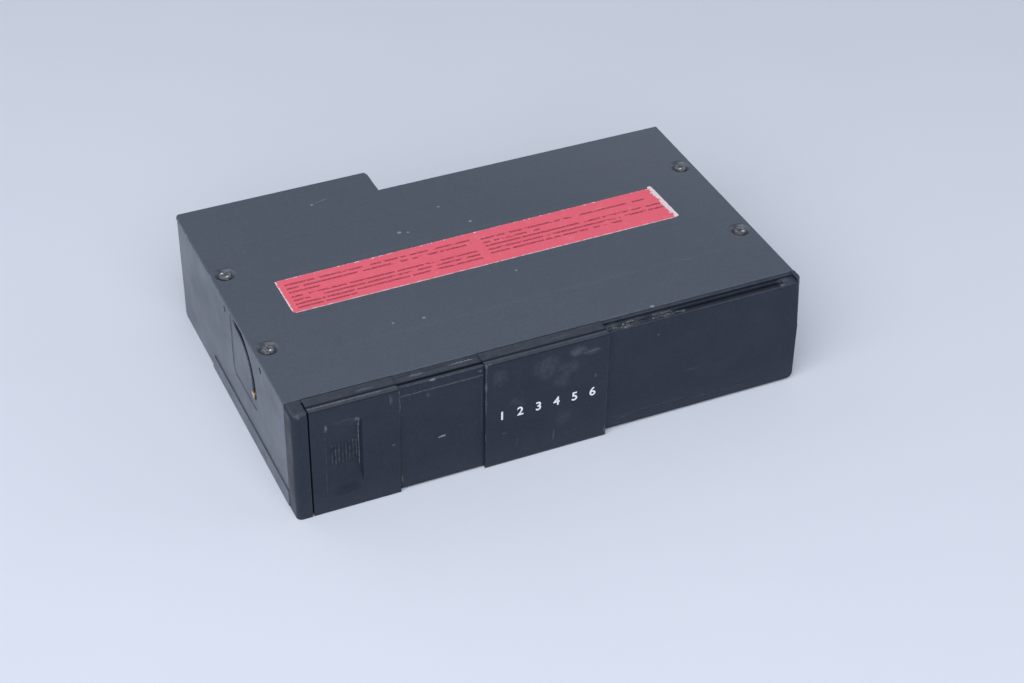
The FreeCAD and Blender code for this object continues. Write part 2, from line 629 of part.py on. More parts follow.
def guide_rods():
    """Three upright posts for the lifting deck and the long rod for the tray pusher."""
    posts = [rod("z", c, (FRAME_Z[0] + WALL, FRAME_Z[1] - WALL), POST_R) for c in POSTS]
    posts.append(rod("x", (PUSHER_Y, PUSHER_ROD_Z), (FRAME_X[0] + WALL, 132.0), 1.2))
    return Part.makeCompound(posts)


def rubber_dampers():
    """Four soft dampers between the case walls and the mechanism walls."""
    dampers = []
    for y, z in ((14.0, 14.0), (118.0, 14.0)):
        body = joined([rod("x", (y, z), (WALL_X + WALL, 3.6), 5.0), rod("x", (y, z), (3.6, 6.2), 3.6),
                       rod("x", (y, z), (6.2, FRAME_X[0]), 5.0)])
        dampers += [body, mirrored(body)]
    return Part.makeCompound(dampers)


def magazine_rails():
    """Two floor rails that carry the magazine."""
    rails = []
    for x in ((9.2, 22.0), (134.0, 147.0)):
        rail = block(x, (3, 127), (FRAME_Z[0] + WALL, MAG_Z[0]))
        rails.append(rail.cut(block((x[0] + 2, x[1] - 2), (2, 128), (FRAME_Z[0] + WALL, MAG_Z[0] - 2))))
    return Part.makeCompound(rails)


# ---------------------------------------------------------------- magazine

def tray_z(index):
    """Underside of a tray, counted from 0 at the bottom."""
    return TRAY_FIRST_Z + TRAY_PITCH * index


def magazine_shell():
    """Magazine body: open on the right for the trays, with shelf ribs front and back."""
    body = soft_block(MAG_X, MAG_Y, MAG_Z, "z", 1.5)
    cavity = block((MAG_X[0] + 2, MAG_X[1] + 1), (0, TRAY_Y[1] + 0.3), (MAG_Z[0] + 1.6, MAG_Z[1] - 1.6))
    window = block((14, 140), (TRAY_Y[1], MAG_Y[1] + 1), (MAG_Z[0] + 1.6, MAG_Z[1] - 1.6))
    grip = soft_block((58, 98), (MAG_Y[0] - 1, MAG_Y[0] + 3.2), (17, 39), "y", 3.0)
    body = body.cut(joined([cavity, window])).cut(grip)
    ribs = []
    for index in range(TRAY_COUNT):
        z = (tray_z(index) - 0.9, tray_z(index) - 0.2)
        ribs.append(block((MAG_X[0] + 1, MAG_X[1] - 0.5), (-0.5, 1.5), z))
        ribs.append(block((MAG_X[0] + 1, MAG_X[1] - 0.5), (TRAY_Y[1] - 1.2, TRAY_Y[1] + 0.6), z))
    boss = block((120.5, 124.0), (12, 15.2), (MAG_Z[1] - 0.5, 47.6))
    return joined([body, boss] + ribs)


def magazine_tray(index):
    """Disc tray with a pocket, an open middle for the spindle and pickup, and a tab for the pusher."""
    z = tray_z(index)
    tray = block(TRAY_X, TRAY_Y, (z, z + 2.6))
    tray = tray.cut(rod("z", (DISC_X, DISC_Y), (z + 0.9, z + 3), DISC_RADIUS + 0.8))
    opening = joined([rod("z", (DISC_X, DISC_Y), (z - 1, z + 3), 20.0),
                      soft_block((66, 100), (DISC_Y, 116), (z - 1, z + 3), "z", 4.0)])
    tab = block((21.0, 31.0), (TRAY_Y[1] - 1, 134.4), (z, z + 0.9))
    return joined([tray.cut(opening), tab])


def disc(index):
    """Compact disc lying in its tray."""
    z = tray_z(index) + 1.0
    plate = rod("z", (DISC_X, DISC_Y), (z, z + DISC_THICKNESS), DISC_RADIUS)
    return drilled(plate, "z", [(DISC_X, DISC_Y)], (z - 1, z + 3), DISC_HOLE_R)


# ---------------------------------------------------------------- lifting deck

def deck_plate():
    """Steel deck plate with post bushes on it and the lugs that carry the lift pins."""
    z = (DECK_Z, DECK_Z + WALL)
    plate = block(DECK_X, DECK_Y, z)
    plate = plate.cut(soft_block((161, 188), (75.4, 131), (0, 20), "z", 2.0))
    plate = plate.cut(block((188.6, 198.4), (55.6, 77.0), (0, 20)))
    plate = drilled(plate, "z", [(SPINDLE_X, DISC_Y)], (0, 20), 3.5)
    lugs = [block((DECK_X[1] - WALL, DECK_X[1]), (y - 6, y + 6), (DECK_Z, 13.5)) for y in PIN_YS]
    bushes = [rod("z", c, (DECK_Z, 13.5), 2.8) for c in POSTS]
    deck = joined([plate] + lugs + bushes)
    return drilled(deck, "z", POSTS, (0, 20), POST_R + RUNNING_GAP)


def rod_hangers():
    """Five small blocks under the deck plate that hold the pickup rods and the far end of the lead screw."""
    z = (ROD_Z - 2, DECK_Z)
    hangers = []
    for x in ROD_XS:
        for y in ((73.0, 75.4), (132.0, 135.0)):
            hangers.append(drilled(block((x - 2.2, x + 2.2), y, z), "y", [(x, ROD_Z)], (72, 136), 1.2))
    end = block((SLED_SCREW_X - 2, SLED_SCREW_X + 2), (132.0, 135.0), z)
    hangers.append(drilled(end, "y", [(SLED_SCREW_X, ROD_Z)], (131, 136), 1.0 + RUNNING_GAP))
    return Part.makeCompound(hangers)


def lift_pins():
    """Two pins on the deck's lugs that ride in the cam plate's slots."""
    return Part.makeCompound([rod("x", (y, PIN_Z), (DECK_X[1], 245.9), 1.5) for y in PIN_YS])


def spindle_motor():
    """Flat motor under the deck plate with its shaft."""
    can = rod("z", (SPINDLE_X, DISC_Y), (1.6, DECK_Z), 13.0)
    flange = rod("z", (SPINDLE_X, DISC_Y), (DECK_Z, 9.0), 3.4)
    shaft = rod("z", (SPINDLE_X, DISC_Y), (9.0, 11.0), 1.0)
    return joined([can, flange, shaft])


def turntable():
    """Disc table with a centring hub, turning on the motor's shaft."""
    centre = (SPINDLE_X, DISC_Y)
    hub_z = TABLE_TOP_Z + 0.9
    table = joined([rod("z", centre, (9.4, TABLE_TOP_Z), 14.5), rod("z", centre, (9.4, hub_z), 7.2),
                    cone(centre, (hub_z, hub_z + 1.3), 7.2, 5.4)])
    return drilled(table, "z", [centre], (9, 11.1), 1.0 + RUNNING_GAP)


def pickup_rods():
    """Two polished rods that guide the pickup."""
    return Part.makeCompound([rod("y", (x, ROD_Z), (73.0, 135.0), 1.2) for x in ROD_XS])


def pickup_sled():
    """Optical pickup block that slides along the rods."""
    body = soft_block((162.2, 186.8), SLED_Y, SLED_Z, "z", 1.5)
    body = body.cut(block((167.5, 181.5), (SLED_Y[0] - 1, SLED_Y[0] + 3), (7.0, 10)))
    arm = block((186.0, 191.4), (80, 88), (4.4, 7.0))
    body = joined([body, arm])
    body = drilled(body, "y", [(x, ROD_Z) for x in ROD_XS], (70, 100), 1.2 + RUNNING_GAP)
    return body.cut(rod("z", (SPINDLE_X, 85.6), (8.0, 10), 3.4))


def pickup_lens():
    """Objective lens in its round holder."""
    centre = (SPINDLE_X, 85.6)
    return joined([rod("z", centre, (8.0, 9.4), 3.3), cone(centre, (9.4, 10.0), 2.3, 1.2)])


def sled_motor():
    """Small motor that turns the pickup's lead screw."""
    can = rod("y", (SLED_SCREW_X, ROD_Z), (56.5, 75.5), 3.6)
    return can.common(block((180, 210), (50, 80), (2.9, 8.3)))


def sled_screw():
    """Pickup lead screw."""
    screw = rod("y", (SLED_SCREW_X, ROD_Z), (75.8, 131.6), 1.4)
    for index in range(18):
        y = 79.0 + index * 2.8
        ring = rod("y", (SLED_SCREW_X, ROD_Z), (y, y + 1.2), 1.8)
        screw = screw.cut(ring.cut(rod("y", (SLED_SCREW_X, ROD_Z), (y, y + 1.2), 1.1)))
    return joined([screw, rod("y", (SLED_SCREW_X, ROD_Z), (131.6, 134.6), 1.0)])


def clamp_bracket():
    """Two ears on the deck with the clamp arm's hinge pins."""
    pieces = []
    hinge = (CLAMP_HINGE_Y, CLAMP_HINGE_Z)
    for ear, foot, pin in (((158.0, 159.5), (157.2, 160.8), (158.5, 161.4)),
                           ((189.0, 190.5), (188.4, 192.0), (186.9, 190.0))):
        upright = joined([block(ear, (125.5, 134.5), (8.7, CLAMP_HINGE_Z)), rod("x", hinge, ear, 4.5)])
        pieces.append(joined([upright, block(foot, (125.5, 134.5), (8.7, 9.7)), rod("x", hinge, pin, 1.2)]))
    return Part.makeCompound(pieces)


def opened(shape):
    """Clamp pieces are drawn closed, then swung open about the hinge line for rest."""
    turned = shape.copy()
    turned.rotate(Vector(0, CLAMP_HINGE_Y, CLAMP_HINGE_Z), AXES["x"], -CLAMP_OPEN_ANGLE)
    return turned


def clamp_arm():
    """Arm from the hinge to the spindle, with turned-down ears and a stiffening bead."""
    z = (16.9, 17.9)
    outline = [(160.2, 133.0), (160.2, 108.0), (166.0, 50.0), (182.0, 50.0), (188.2, 108.0), (188.2, 133.0)]
    plate = joined([prism("z", outline, z), rod("z", (SPINDLE_X, 52.0), z, 8.6)])
    hinge = (CLAMP_HINGE_Y, CLAMP_HINGE_Z)
    ears = []
    for x in ((160.2, 161.2), (187.2, 188.2)):
        ears.append(joined([block(x, (126.5, 133.0), (CLAMP_HINGE_Z, z[1])), rod("x", hinge, x, 3.2)]))
    bead = joined([block((163.5, 164.7), (84, 124), (z[1] - 0.1, 19.4)),
                   block((183.7, 184.9), (84, 124), (z[1] - 0.1, 19.4))])
    arm = joined([plate, bead.Solids[0], bead.Solids[1]] + ears)
    arm = drilled(arm, "x", [hinge], (150, 200), 1.2 + RUNNING_GAP)
    return opened(drilled(arm, "z", [(SPINDLE_X, DISC_Y)], (10, 22), 2.6))


def clamper():
    """Free-turning puck that presses the disc on the turntable."""
    centre = (SPINDLE_X, DISC_Y)
    puck = rod("z", centre, (12.9, 16.3), 13.0).cut(rod("z", centre, (12.0, 14.3), 8.2))
    return opened(joined([puck, rod("z", centre, (16.0, 18.6), 2.2), rod("z", centre, (18.4, 19.4), 4.2)]))


# ---------------------------------------------------------------- lift drive

def lift_gear_centre():
    """Side-view position of the lift gear above the rack."""
    return (LIFT_GEAR_Y, RACK_PITCH_Z + RACK_MODULE * PINION_TEETH / 2)


def lift_motor_centre():
    """Side-view position of the lift motor, straight behind the lift gear."""
    distance = GEAR_MODULE * (LIFT_GEAR_TEETH + MOTOR_TEETH) / 2
    return (LIFT_GEAR_Y + distance, lift_gear_centre()[1])


def lift_cam_plate():
    """Plate beside the deck: two sloped slots lift the pins, and a rack along its top drives it."""
    plate = block(CAM_X, CAM_Y, CAM_Z)
    for y in PIN_YS:
        end = (y - CAM_TRAVEL, PIN_Z + LIFT)
        plate = plate.cut(capsule("x", (y, PIN_Z), end, (240, 250), 1.5 + RUNNING_GAP))
    pitch = math.pi * RACK_MODULE
    teeth = []
    for index in range(-15, 3):
        y = LIFT_GEAR_Y + (index + 0.5) * pitch
        top = RACK_PITCH_Z + 0.75 * RACK_MODULE
        outline = [(y - 0.31 * pitch, CAM_Z[1] - 0.2), (y - 0.10 * pitch, top), (y + 0.10 * pitch, top),
                   (y + 0.31 * pitch, CAM_Z[1] - 0.2)]
        teeth.append(prism("x", outline, CAM_X))
    return joined([plate] + teeth)


def lift_gear():
    """Compound gear: a wide wheel from the motor and a pinion on the rack."""
    centre = lift_gear_centre()
    wheel = gear(centre, (241.8, 243.6), LIFT_GEAR_TEETH, GEAR_MODULE, 0.0)
    pinion = gear(centre, (243.6, 245.9), PINION_TEETH, RACK_MODULE, -90.0)
    return drilled(joined([wheel, pinion]), "x", [centre], (240, 250), 1.0 + RUNNING_GAP)


def motor_can(centre, span, radius):
    """Cylindrical motor along X with a flat top and bottom."""
    can = rod("x", centre, span, radius)
    flat = radius * 0.84
    wide = (centre[0] - radius, centre[0] + radius)
    return can.common(block(span, wide, (centre[1] - flat, centre[1] + flat)))


def lift_motor_gear():
    """Pinion on the lift motor's shaft."""
    centre = lift_motor_centre()
    half_tooth = 180.0 / MOTOR_TEETH
    wheel = gear(centre, (241.8, 243.6), MOTOR_TEETH, GEAR_MODULE, 180.0 + half_tooth)
    return joined([wheel, rod("x", centre, (239.85, 242.0), 0.9)])


def drive_brackets():
    """Bracket that holds the lift motor, and the post at the end of the tray pusher's screw."""
    y, z = lift_motor_centre()
    plate = block((239.8, 241.0), (y - 6.5, y + 6.5), (z - 6, 56.0))
    flange = block((239.8, FRAME_X[1] - WALL), (y - 1.5, y + 6.5), (54.8, 56.0))
    rise = block((FRAME_X[1] - WALL - 1.2, FRAME_X[1] - WALL), (y - 1.5, y + 6.5), (51.0, 56.0))
    lift = drilled(joined([plate, flange, rise]), "x", [(y, z)], (235, 245), 1.6)
    post = block((132.0, 133.2), (134.6, FRAME_Y[1]), (FRAME_Z[0] + WALL, 51.0))
    post = drilled(post, "x", [(PUSHER_Y, PUSHER_SCREW_Z)], (130, 135), 1.0 + RUNNING_GAP)
    return Part.makeCompound([lift, post])


# ---------------------------------------------------------------- tray drive

def tray_motor_y():
    """Depth of the tray motor behind the pusher's screw."""
    return PUSHER_Y + GEAR_MODULE * (SCREW_GEAR_TEETH + MOTOR_TEETH) / 2


def tray_pusher():
    """Block on the rear rod; its fork moves the selected tray's tab."""
    body = block((15.0, 37.0), (135.1, 140.1), (38.2, 50.2))
    lower = block((17.0, 35.0), (130.6, 135.6), (40.4, 42.4))
    fingers = [block(x, (130.6, 135.6), (38.2, 41.0)) for x in ((17.0, 20.7), (31.3, 35.0))]
    pusher = joined([body, lower] + fingers)
    pusher = drilled(pusher, "x", [(PUSHER_Y, PUSHER_ROD_Z)], (10, 40), 1.2 + RUNNING_GAP)
    return drilled(pusher, "x", [(PUSHER_Y, PUSHER_SCREW_Z)], (10, 40), 1.4 + RUNNING_GAP)


def pusher_screw():
    """Lead screw of the tray pusher, with its gear outside the left wall of the mechanism."""
    centre = (PUSHER_Y, PUSHER_SCREW_Z)
    wheel = gear(centre, (5.0, 7.0), SCREW_GEAR_TEETH, GEAR_MODULE, 0.0)
    screw = joined([wheel, rod("x", centre, (6.5, 131.6), 1.4), rod("x", centre, (131.6, 133.0), 1.0)])
    grooves = []
    for index in range(22):
        x = 42.0 + index * 4.0
        ring = rod("x", centre, (x, x + 1.4), 1.8)
        grooves.append(ring.cut(rod("x", centre, (x, x + 1.4), 1.1)))
    return screw.cut(Part.makeCompound(grooves))


def tray_motor_gear():
    """Pinion on the tray motor's shaft."""
    centre = (tray_motor_y(), PUSHER_SCREW_Z)
    wheel = gear(centre, (5.0, 7.0), MOTOR_TEETH, GEAR_MODULE, 180.0 + 180.0 / MOTOR_TEETH)
    return joined([wheel, rod("x", centre, (6.5, 8.95), 0.9)])


# ---------------------------------------------------------------- eject

def eject_button():
    """Button above the magazine mouth, with a stem behind it that reaches the latch."""
    head = soft_block(BUTTON_X, (BEZEL_FACE_Y + 0.1, -2.0), BUTTON_Z, "y", 0.6)
    stem = block((147.0, 148.9), (-5.0, 13.0), (LATCH_Z[0], BUTTON_Z[0] - 0.2))
    link = block((147.0, 148.9), (-5.0, -2.0), (LATCH_Z[0], BUTTON_Z[1] - 1))
    return joined([head, stem, link])


def eject_spring():
    """Spring between the button and the seat on the mechanism's bridge."""
    return coil(Vector(142.0, -1.6, 52.9), AXES["y"], 10.2, 1.6, 0.25, 7)


def magazine_latch():
    """Flat latch: its hook stands in front of the magazine's boss, and the button's stem turns it."""
    hub = rod("z", LATCH_PIVOT, LATCH_Z, 3.4)
    hook_arm = capsule("z", LATCH_PIVOT, (126.9, 10.2), LATCH_Z, 1.5)
    hook = block((122.4, 127.4), (8.9, 11.6), LATCH_Z)
    tail = capsule("z", LATCH_PIVOT, (148.0, 15.6), LATCH_Z, 1.6)
    latch = joined([hub, hook_arm, hook, tail])
    return drilled(latch, "z", [LATCH_PIVOT], (40, 50), 1.2 + RUNNING_GAP)


# ---------------------------------------------------------------- electronics

def main_board():
    """Circuit board under the magazine."""
    return block(BOARD_X, BOARD_Y, BOARD_Z)


def board_parts():
    """Chips, capacitors and connectors soldered on the board."""
    top = BOARD_Z[1]
    chips = [block((x, x + 16), (y, y + 16), (top, top + 2.0)) for x, y in ((40, 30), (70, 34), (98, 62))]
    small = [block((44 + 12 * i, 52 + 12 * i), (92, 97), (top, top + 1.6)) for i in range(5)]
    cans = [rod("z", (c, 70.0), (top, top + 4.0), 3.0) for c in (40.0, 50.0, 60.0, 70.0)]
    crystal = soft_block((86, 96), (24, 28.5), (top, top + 3.4), "z", 2.0)
    headers = [block((30, 38), (106, 120), (top, top + 4.0)), block((112, 126), (104, 110), (top, top + 4.0))]
    return Part.makeCompound(chips + small + cans + [crystal] + headers)


def rear_sockets():
    """Round data socket and small power socket in the notch's side wall, facing right."""
    inner = NOTCH_X - WALL
    ring = rod("x", DATA_SOCKET, (inner - 12, NOTCH_X + 0.8), 6.4)
    ring = ring.cut(rod("x", DATA_SOCKET, (NOTCH_X - 1.2, NOTCH_X + 1), 5.2))
    pin_holes = []
    for index in range(8):
        angle = math.radians(30 + index * 300 / 7)
        pin_holes.append((DATA_SOCKET[0] + 3.4 * math.cos(angle), DATA_SOCKET[1] + 3.4 * math.sin(angle)))
    ring = drilled(ring, "x", pin_holes, (NOTCH_X - 5, NOTCH_X + 1), 0.6)
    plate = block((inner - 1.5, inner), (143.5, 158.0), (31.0, 49.0))
    gap = 0.3
    power_y = (POWER_SOCKET_Y[0] + gap, POWER_SOCKET_Y[1] - gap)
    power_z = (POWER_SOCKET_Z[0] + gap, POWER_SOCKET_Z[1] - gap)
    power = block((inner - 10, NOTCH_X + 0.6), power_y, power_z)
    mouth_y = (power_y[0] + 1.2, power_y[1] - 1.2)
    mouth_z = (power_z[0] + 1.3, power_z[1] - 1.3)
    power = power.cut(block((NOTCH_X - 2.6, NOTCH_X + 1), mouth_y, mouth_z))
    blades = [block((NOTCH_X - 3, NOTCH_X), (149.8, 151.8), (z, z + 1.0)) for z in (16.0, 18.5, 21.0)]
    return Part.makeCompound([joined([ring, plate]), joined([power] + blades)])


def export(name, shape):
    """Move a shape to the part's frame and write its STEP file."""
    moved = shape.copy()
    moved.translate(OFFSET)
    moved.exportStep(os.path.join("parts", name + ".step"))


def all_parts():
    """Every node's name with its shape."""
    parts = {
        "base_tray": base_tray(), "left_side_plate": side_wall_sheet(),
        "right_side_plate": right_side_sheet(), "rear_panel": rear_panel(), "top_cover": top_cover(),
        "case_screws": case_screws(), "cover_label": cover_label(), "front_bezel": front_bezel(),
        "door_panel": door_panel(), "centre_panel": centre_panel(), "pivot_pins": pivot_pins(),
        "mech_base_plate": mech_base_plate(),
        "mech_side_walls": mech_side_walls(), "mech_top_frame": mech_top_frame(), "guide_rods": guide_rods(),
        "rubber_dampers": rubber_dampers(), "magazine_rails": magazine_rails(),
        "magazine_shell": magazine_shell(), "deck_plate": deck_plate(), "rod_hangers": rod_hangers(),
        "lift_pins": lift_pins(), "spindle_motor": spindle_motor(), "turntable": turntable(),
        "pickup_rods": pickup_rods(),
        "pickup_sled": pickup_sled(), "pickup_lens": pickup_lens(), "sled_motor": sled_motor(),
        "sled_screw": sled_screw(), "clamp_bracket": clamp_bracket(), "clamp_arm": clamp_arm(),
        "clamper": clamper(), "lift_cam_plate": lift_cam_plate(), "lift_gear": lift_gear(),
        "lift_motor": motor_can(lift_motor_centre(), (222.0, 239.8), 5.0),
        "lift_motor_gear": lift_motor_gear(), "drive_brackets": drive_brackets(),
        "tray_motor": motor_can((tray_motor_y(), PUSHER_SCREW_Z), (FRAME_X[0] + WALL, 30.0), 5.0),
        "tray_motor_gear": tray_motor_gear(), "tray_pusher": tray_pusher(), "pusher_screw": pusher_screw(),
        "eject_button": eject_button(), "eject_spring": eject_spring(), "magazine_latch": magazine_latch(),
        "main_board": main_board(), "board_parts": board_parts(), "rear_sockets": rear_sockets(),
    }
    adjuster = {"lever": adjuster_lever(), "stud": adjuster_stud()}
    hanging = {"adjuster_" + name: shape for name, shape in adjuster.items()}
    hanging["float_spring"] = float_spring()
    for name, shape in hanging.items():
        parts["left_" + name] = shape
        parts["right_" + name] = mirrored(shape)
    for index in range(TRAY_COUNT):
        parts["magazine_tray_%d" % (index + 1)] = magazine_tray(index)
    parts["disc_6"] = disc(TRAY_COUNT - 1)
    parts["stored_discs"] = Part.makeCompound([disc(index) for index in range(TRAY_COUNT - 1)])
    return parts


os.makedirs("parts", exist_ok=True)
for part_name, part_shape in all_parts().items():
    export(part_name, part_shape)
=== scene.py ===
import json
import math
import random

import bpy
import bmesh
from mathutils import Matrix, Vector


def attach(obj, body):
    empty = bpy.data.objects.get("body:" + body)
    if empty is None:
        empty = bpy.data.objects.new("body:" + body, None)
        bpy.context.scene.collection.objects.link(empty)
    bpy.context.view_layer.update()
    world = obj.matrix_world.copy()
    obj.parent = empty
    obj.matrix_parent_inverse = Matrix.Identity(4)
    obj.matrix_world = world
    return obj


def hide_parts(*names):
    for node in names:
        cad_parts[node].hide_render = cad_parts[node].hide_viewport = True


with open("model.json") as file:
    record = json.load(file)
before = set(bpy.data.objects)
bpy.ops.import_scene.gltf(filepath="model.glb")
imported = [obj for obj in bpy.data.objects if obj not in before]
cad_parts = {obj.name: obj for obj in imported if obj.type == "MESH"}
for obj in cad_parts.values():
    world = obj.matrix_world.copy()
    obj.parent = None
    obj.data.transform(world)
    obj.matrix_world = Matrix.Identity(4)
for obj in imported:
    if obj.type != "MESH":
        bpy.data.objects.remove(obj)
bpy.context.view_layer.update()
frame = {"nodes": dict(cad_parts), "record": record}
NODES = frame["nodes"]

MM = 0.001
# The case's own frame (x = 0 left side, y = 0 cover's front edge, z = 0 underside) in the row frame
CASE_ORIGIN = Vector((-0.1275, -0.0745, 0.0))
FRONT_Y = -0.0108


def at(x, y, z):
    """Point given in the case's own frame in millimetres, in the row frame in metres."""
    return CASE_ORIGIN + Vector((x, y, z)) * MM


# ---------------------------------------------------------------- camera, world and light

# Azimuth, elevation and roll in degrees
CAMERA_ANGLES = (-24.547, 37.046, 0.768)
CAMERA_TARGET = Vector((0.01462, -0.0017, 0.0))
CAMERA_DISTANCE = 1.04106
LENS_MM = 73.6
SENSOR_MM = 36.0

# Softboxes: name, place, aim, size, watts, colour
LIGHTS = (
    ("key", (-0.8, -1.2, 1.4), (0, 0, 0), (2.6, 2.6), 56.0, (0.97, 0.98, 1.0)),
    ("right", (1.8, -0.4, 0.7), (0.2, 0, 0), (1.4, 1.4), 5.0, (0.92, 0.96, 1.0)),
    ("far", (-1.4, 2.0, 1.5), (-0.3, 0.6, 0), (2.2, 2.2), 9.0, (0.90, 0.95, 1.0)))
SKY_COLOUR = (0.82, 0.88, 1.0)
SKY_STRENGTH = 0.3
BACKDROP_COLOUR = (0.57, 0.63, 0.76)


def add_camera():
    azimuth, elevation, roll = (math.radians(a) for a in CAMERA_ANGLES)
    back = Vector((math.sin(azimuth) * math.cos(elevation), -math.cos(azimuth) * math.cos(elevation),
                   math.sin(elevation)))
    right = (-back).cross(Vector((0, 0, 1))).normalized()
    up = right.cross(-back)
    tilted_right = right * math.cos(roll) + up * math.sin(roll)
    tilted_up = up * math.cos(roll) - right * math.sin(roll)
    data = bpy.data.cameras.new("camera")
    data.lens = LENS_MM
    data.sensor_width = SENSOR_MM
    camera = bpy.data.objects.new("camera", data)
    camera.matrix_world = matrix_from(tilted_right, tilted_up, back, CAMERA_TARGET + back * CAMERA_DISTANCE)
    bpy.context.scene.collection.objects.link(camera)
    bpy.context.scene.camera = camera


def matrix_from(x_axis, y_axis, z_axis, place):
    matrix = Matrix((x_axis, y_axis, z_axis)).transposed().to_4x4()
    matrix.translation = place
    return matrix


def add_light(name, place, aim, size, power, colour):
    data = bpy.data.lights.new(name, "AREA")
    data.shape = "RECTANGLE"
    data.size, data.size_y = size
    data.energy = power
    data.color = colour
    light = bpy.data.objects.new(name, data)
    back = (Vector(place) - Vector(aim)).normalized()
    right = Vector((0, 1, 0)).cross(back).normalized()
    light.matrix_world = matrix_from(right, back.cross(right), back, Vector(place))
    bpy.context.scene.collection.objects.link(light)


def add_world():
    world = bpy.data.worlds.new("studio")
    world.use_nodes = True
    tree = world.node_tree
    tree.nodes.clear()
    paths = tree.nodes.new("ShaderNodeLightPath")
    seen = tree.nodes.new("ShaderNodeMath")
    seen.operation = "MAXIMUM"
    tree.links.new(paths.outputs["Is Camera Ray"], seen.inputs[0])
    tree.links.new(paths.outputs["Is Transmission Ray"], seen.inputs[1])
    light = tree.nodes.new("ShaderNodeBackground")
    light.inputs["Color"].default_value = (*SKY_COLOUR, 1)
    light.inputs["Strength"].default_value = SKY_STRENGTH
    backdrop = tree.nodes.new("ShaderNodeBackground")
    backdrop.inputs["Color"].default_value = (*BACKDROP_COLOUR, 1)
    mix = tree.nodes.new("ShaderNodeMixShader")
    tree.links.new(seen.outputs[0], mix.inputs[0])
    tree.links.new(light.outputs[0], mix.inputs[1])
    tree.links.new(backdrop.outputs[0], mix.inputs[2])
    output = tree.nodes.new("ShaderNodeOutputWorld")
    tree.links.new(mix.outputs[0], output.inputs["Surface"])
    bpy.context.scene.world = world


# ---------------------------------------------------------------- material building

BEVEL_SAMPLES = 6
COAT_ROUGHNESS = 0.25


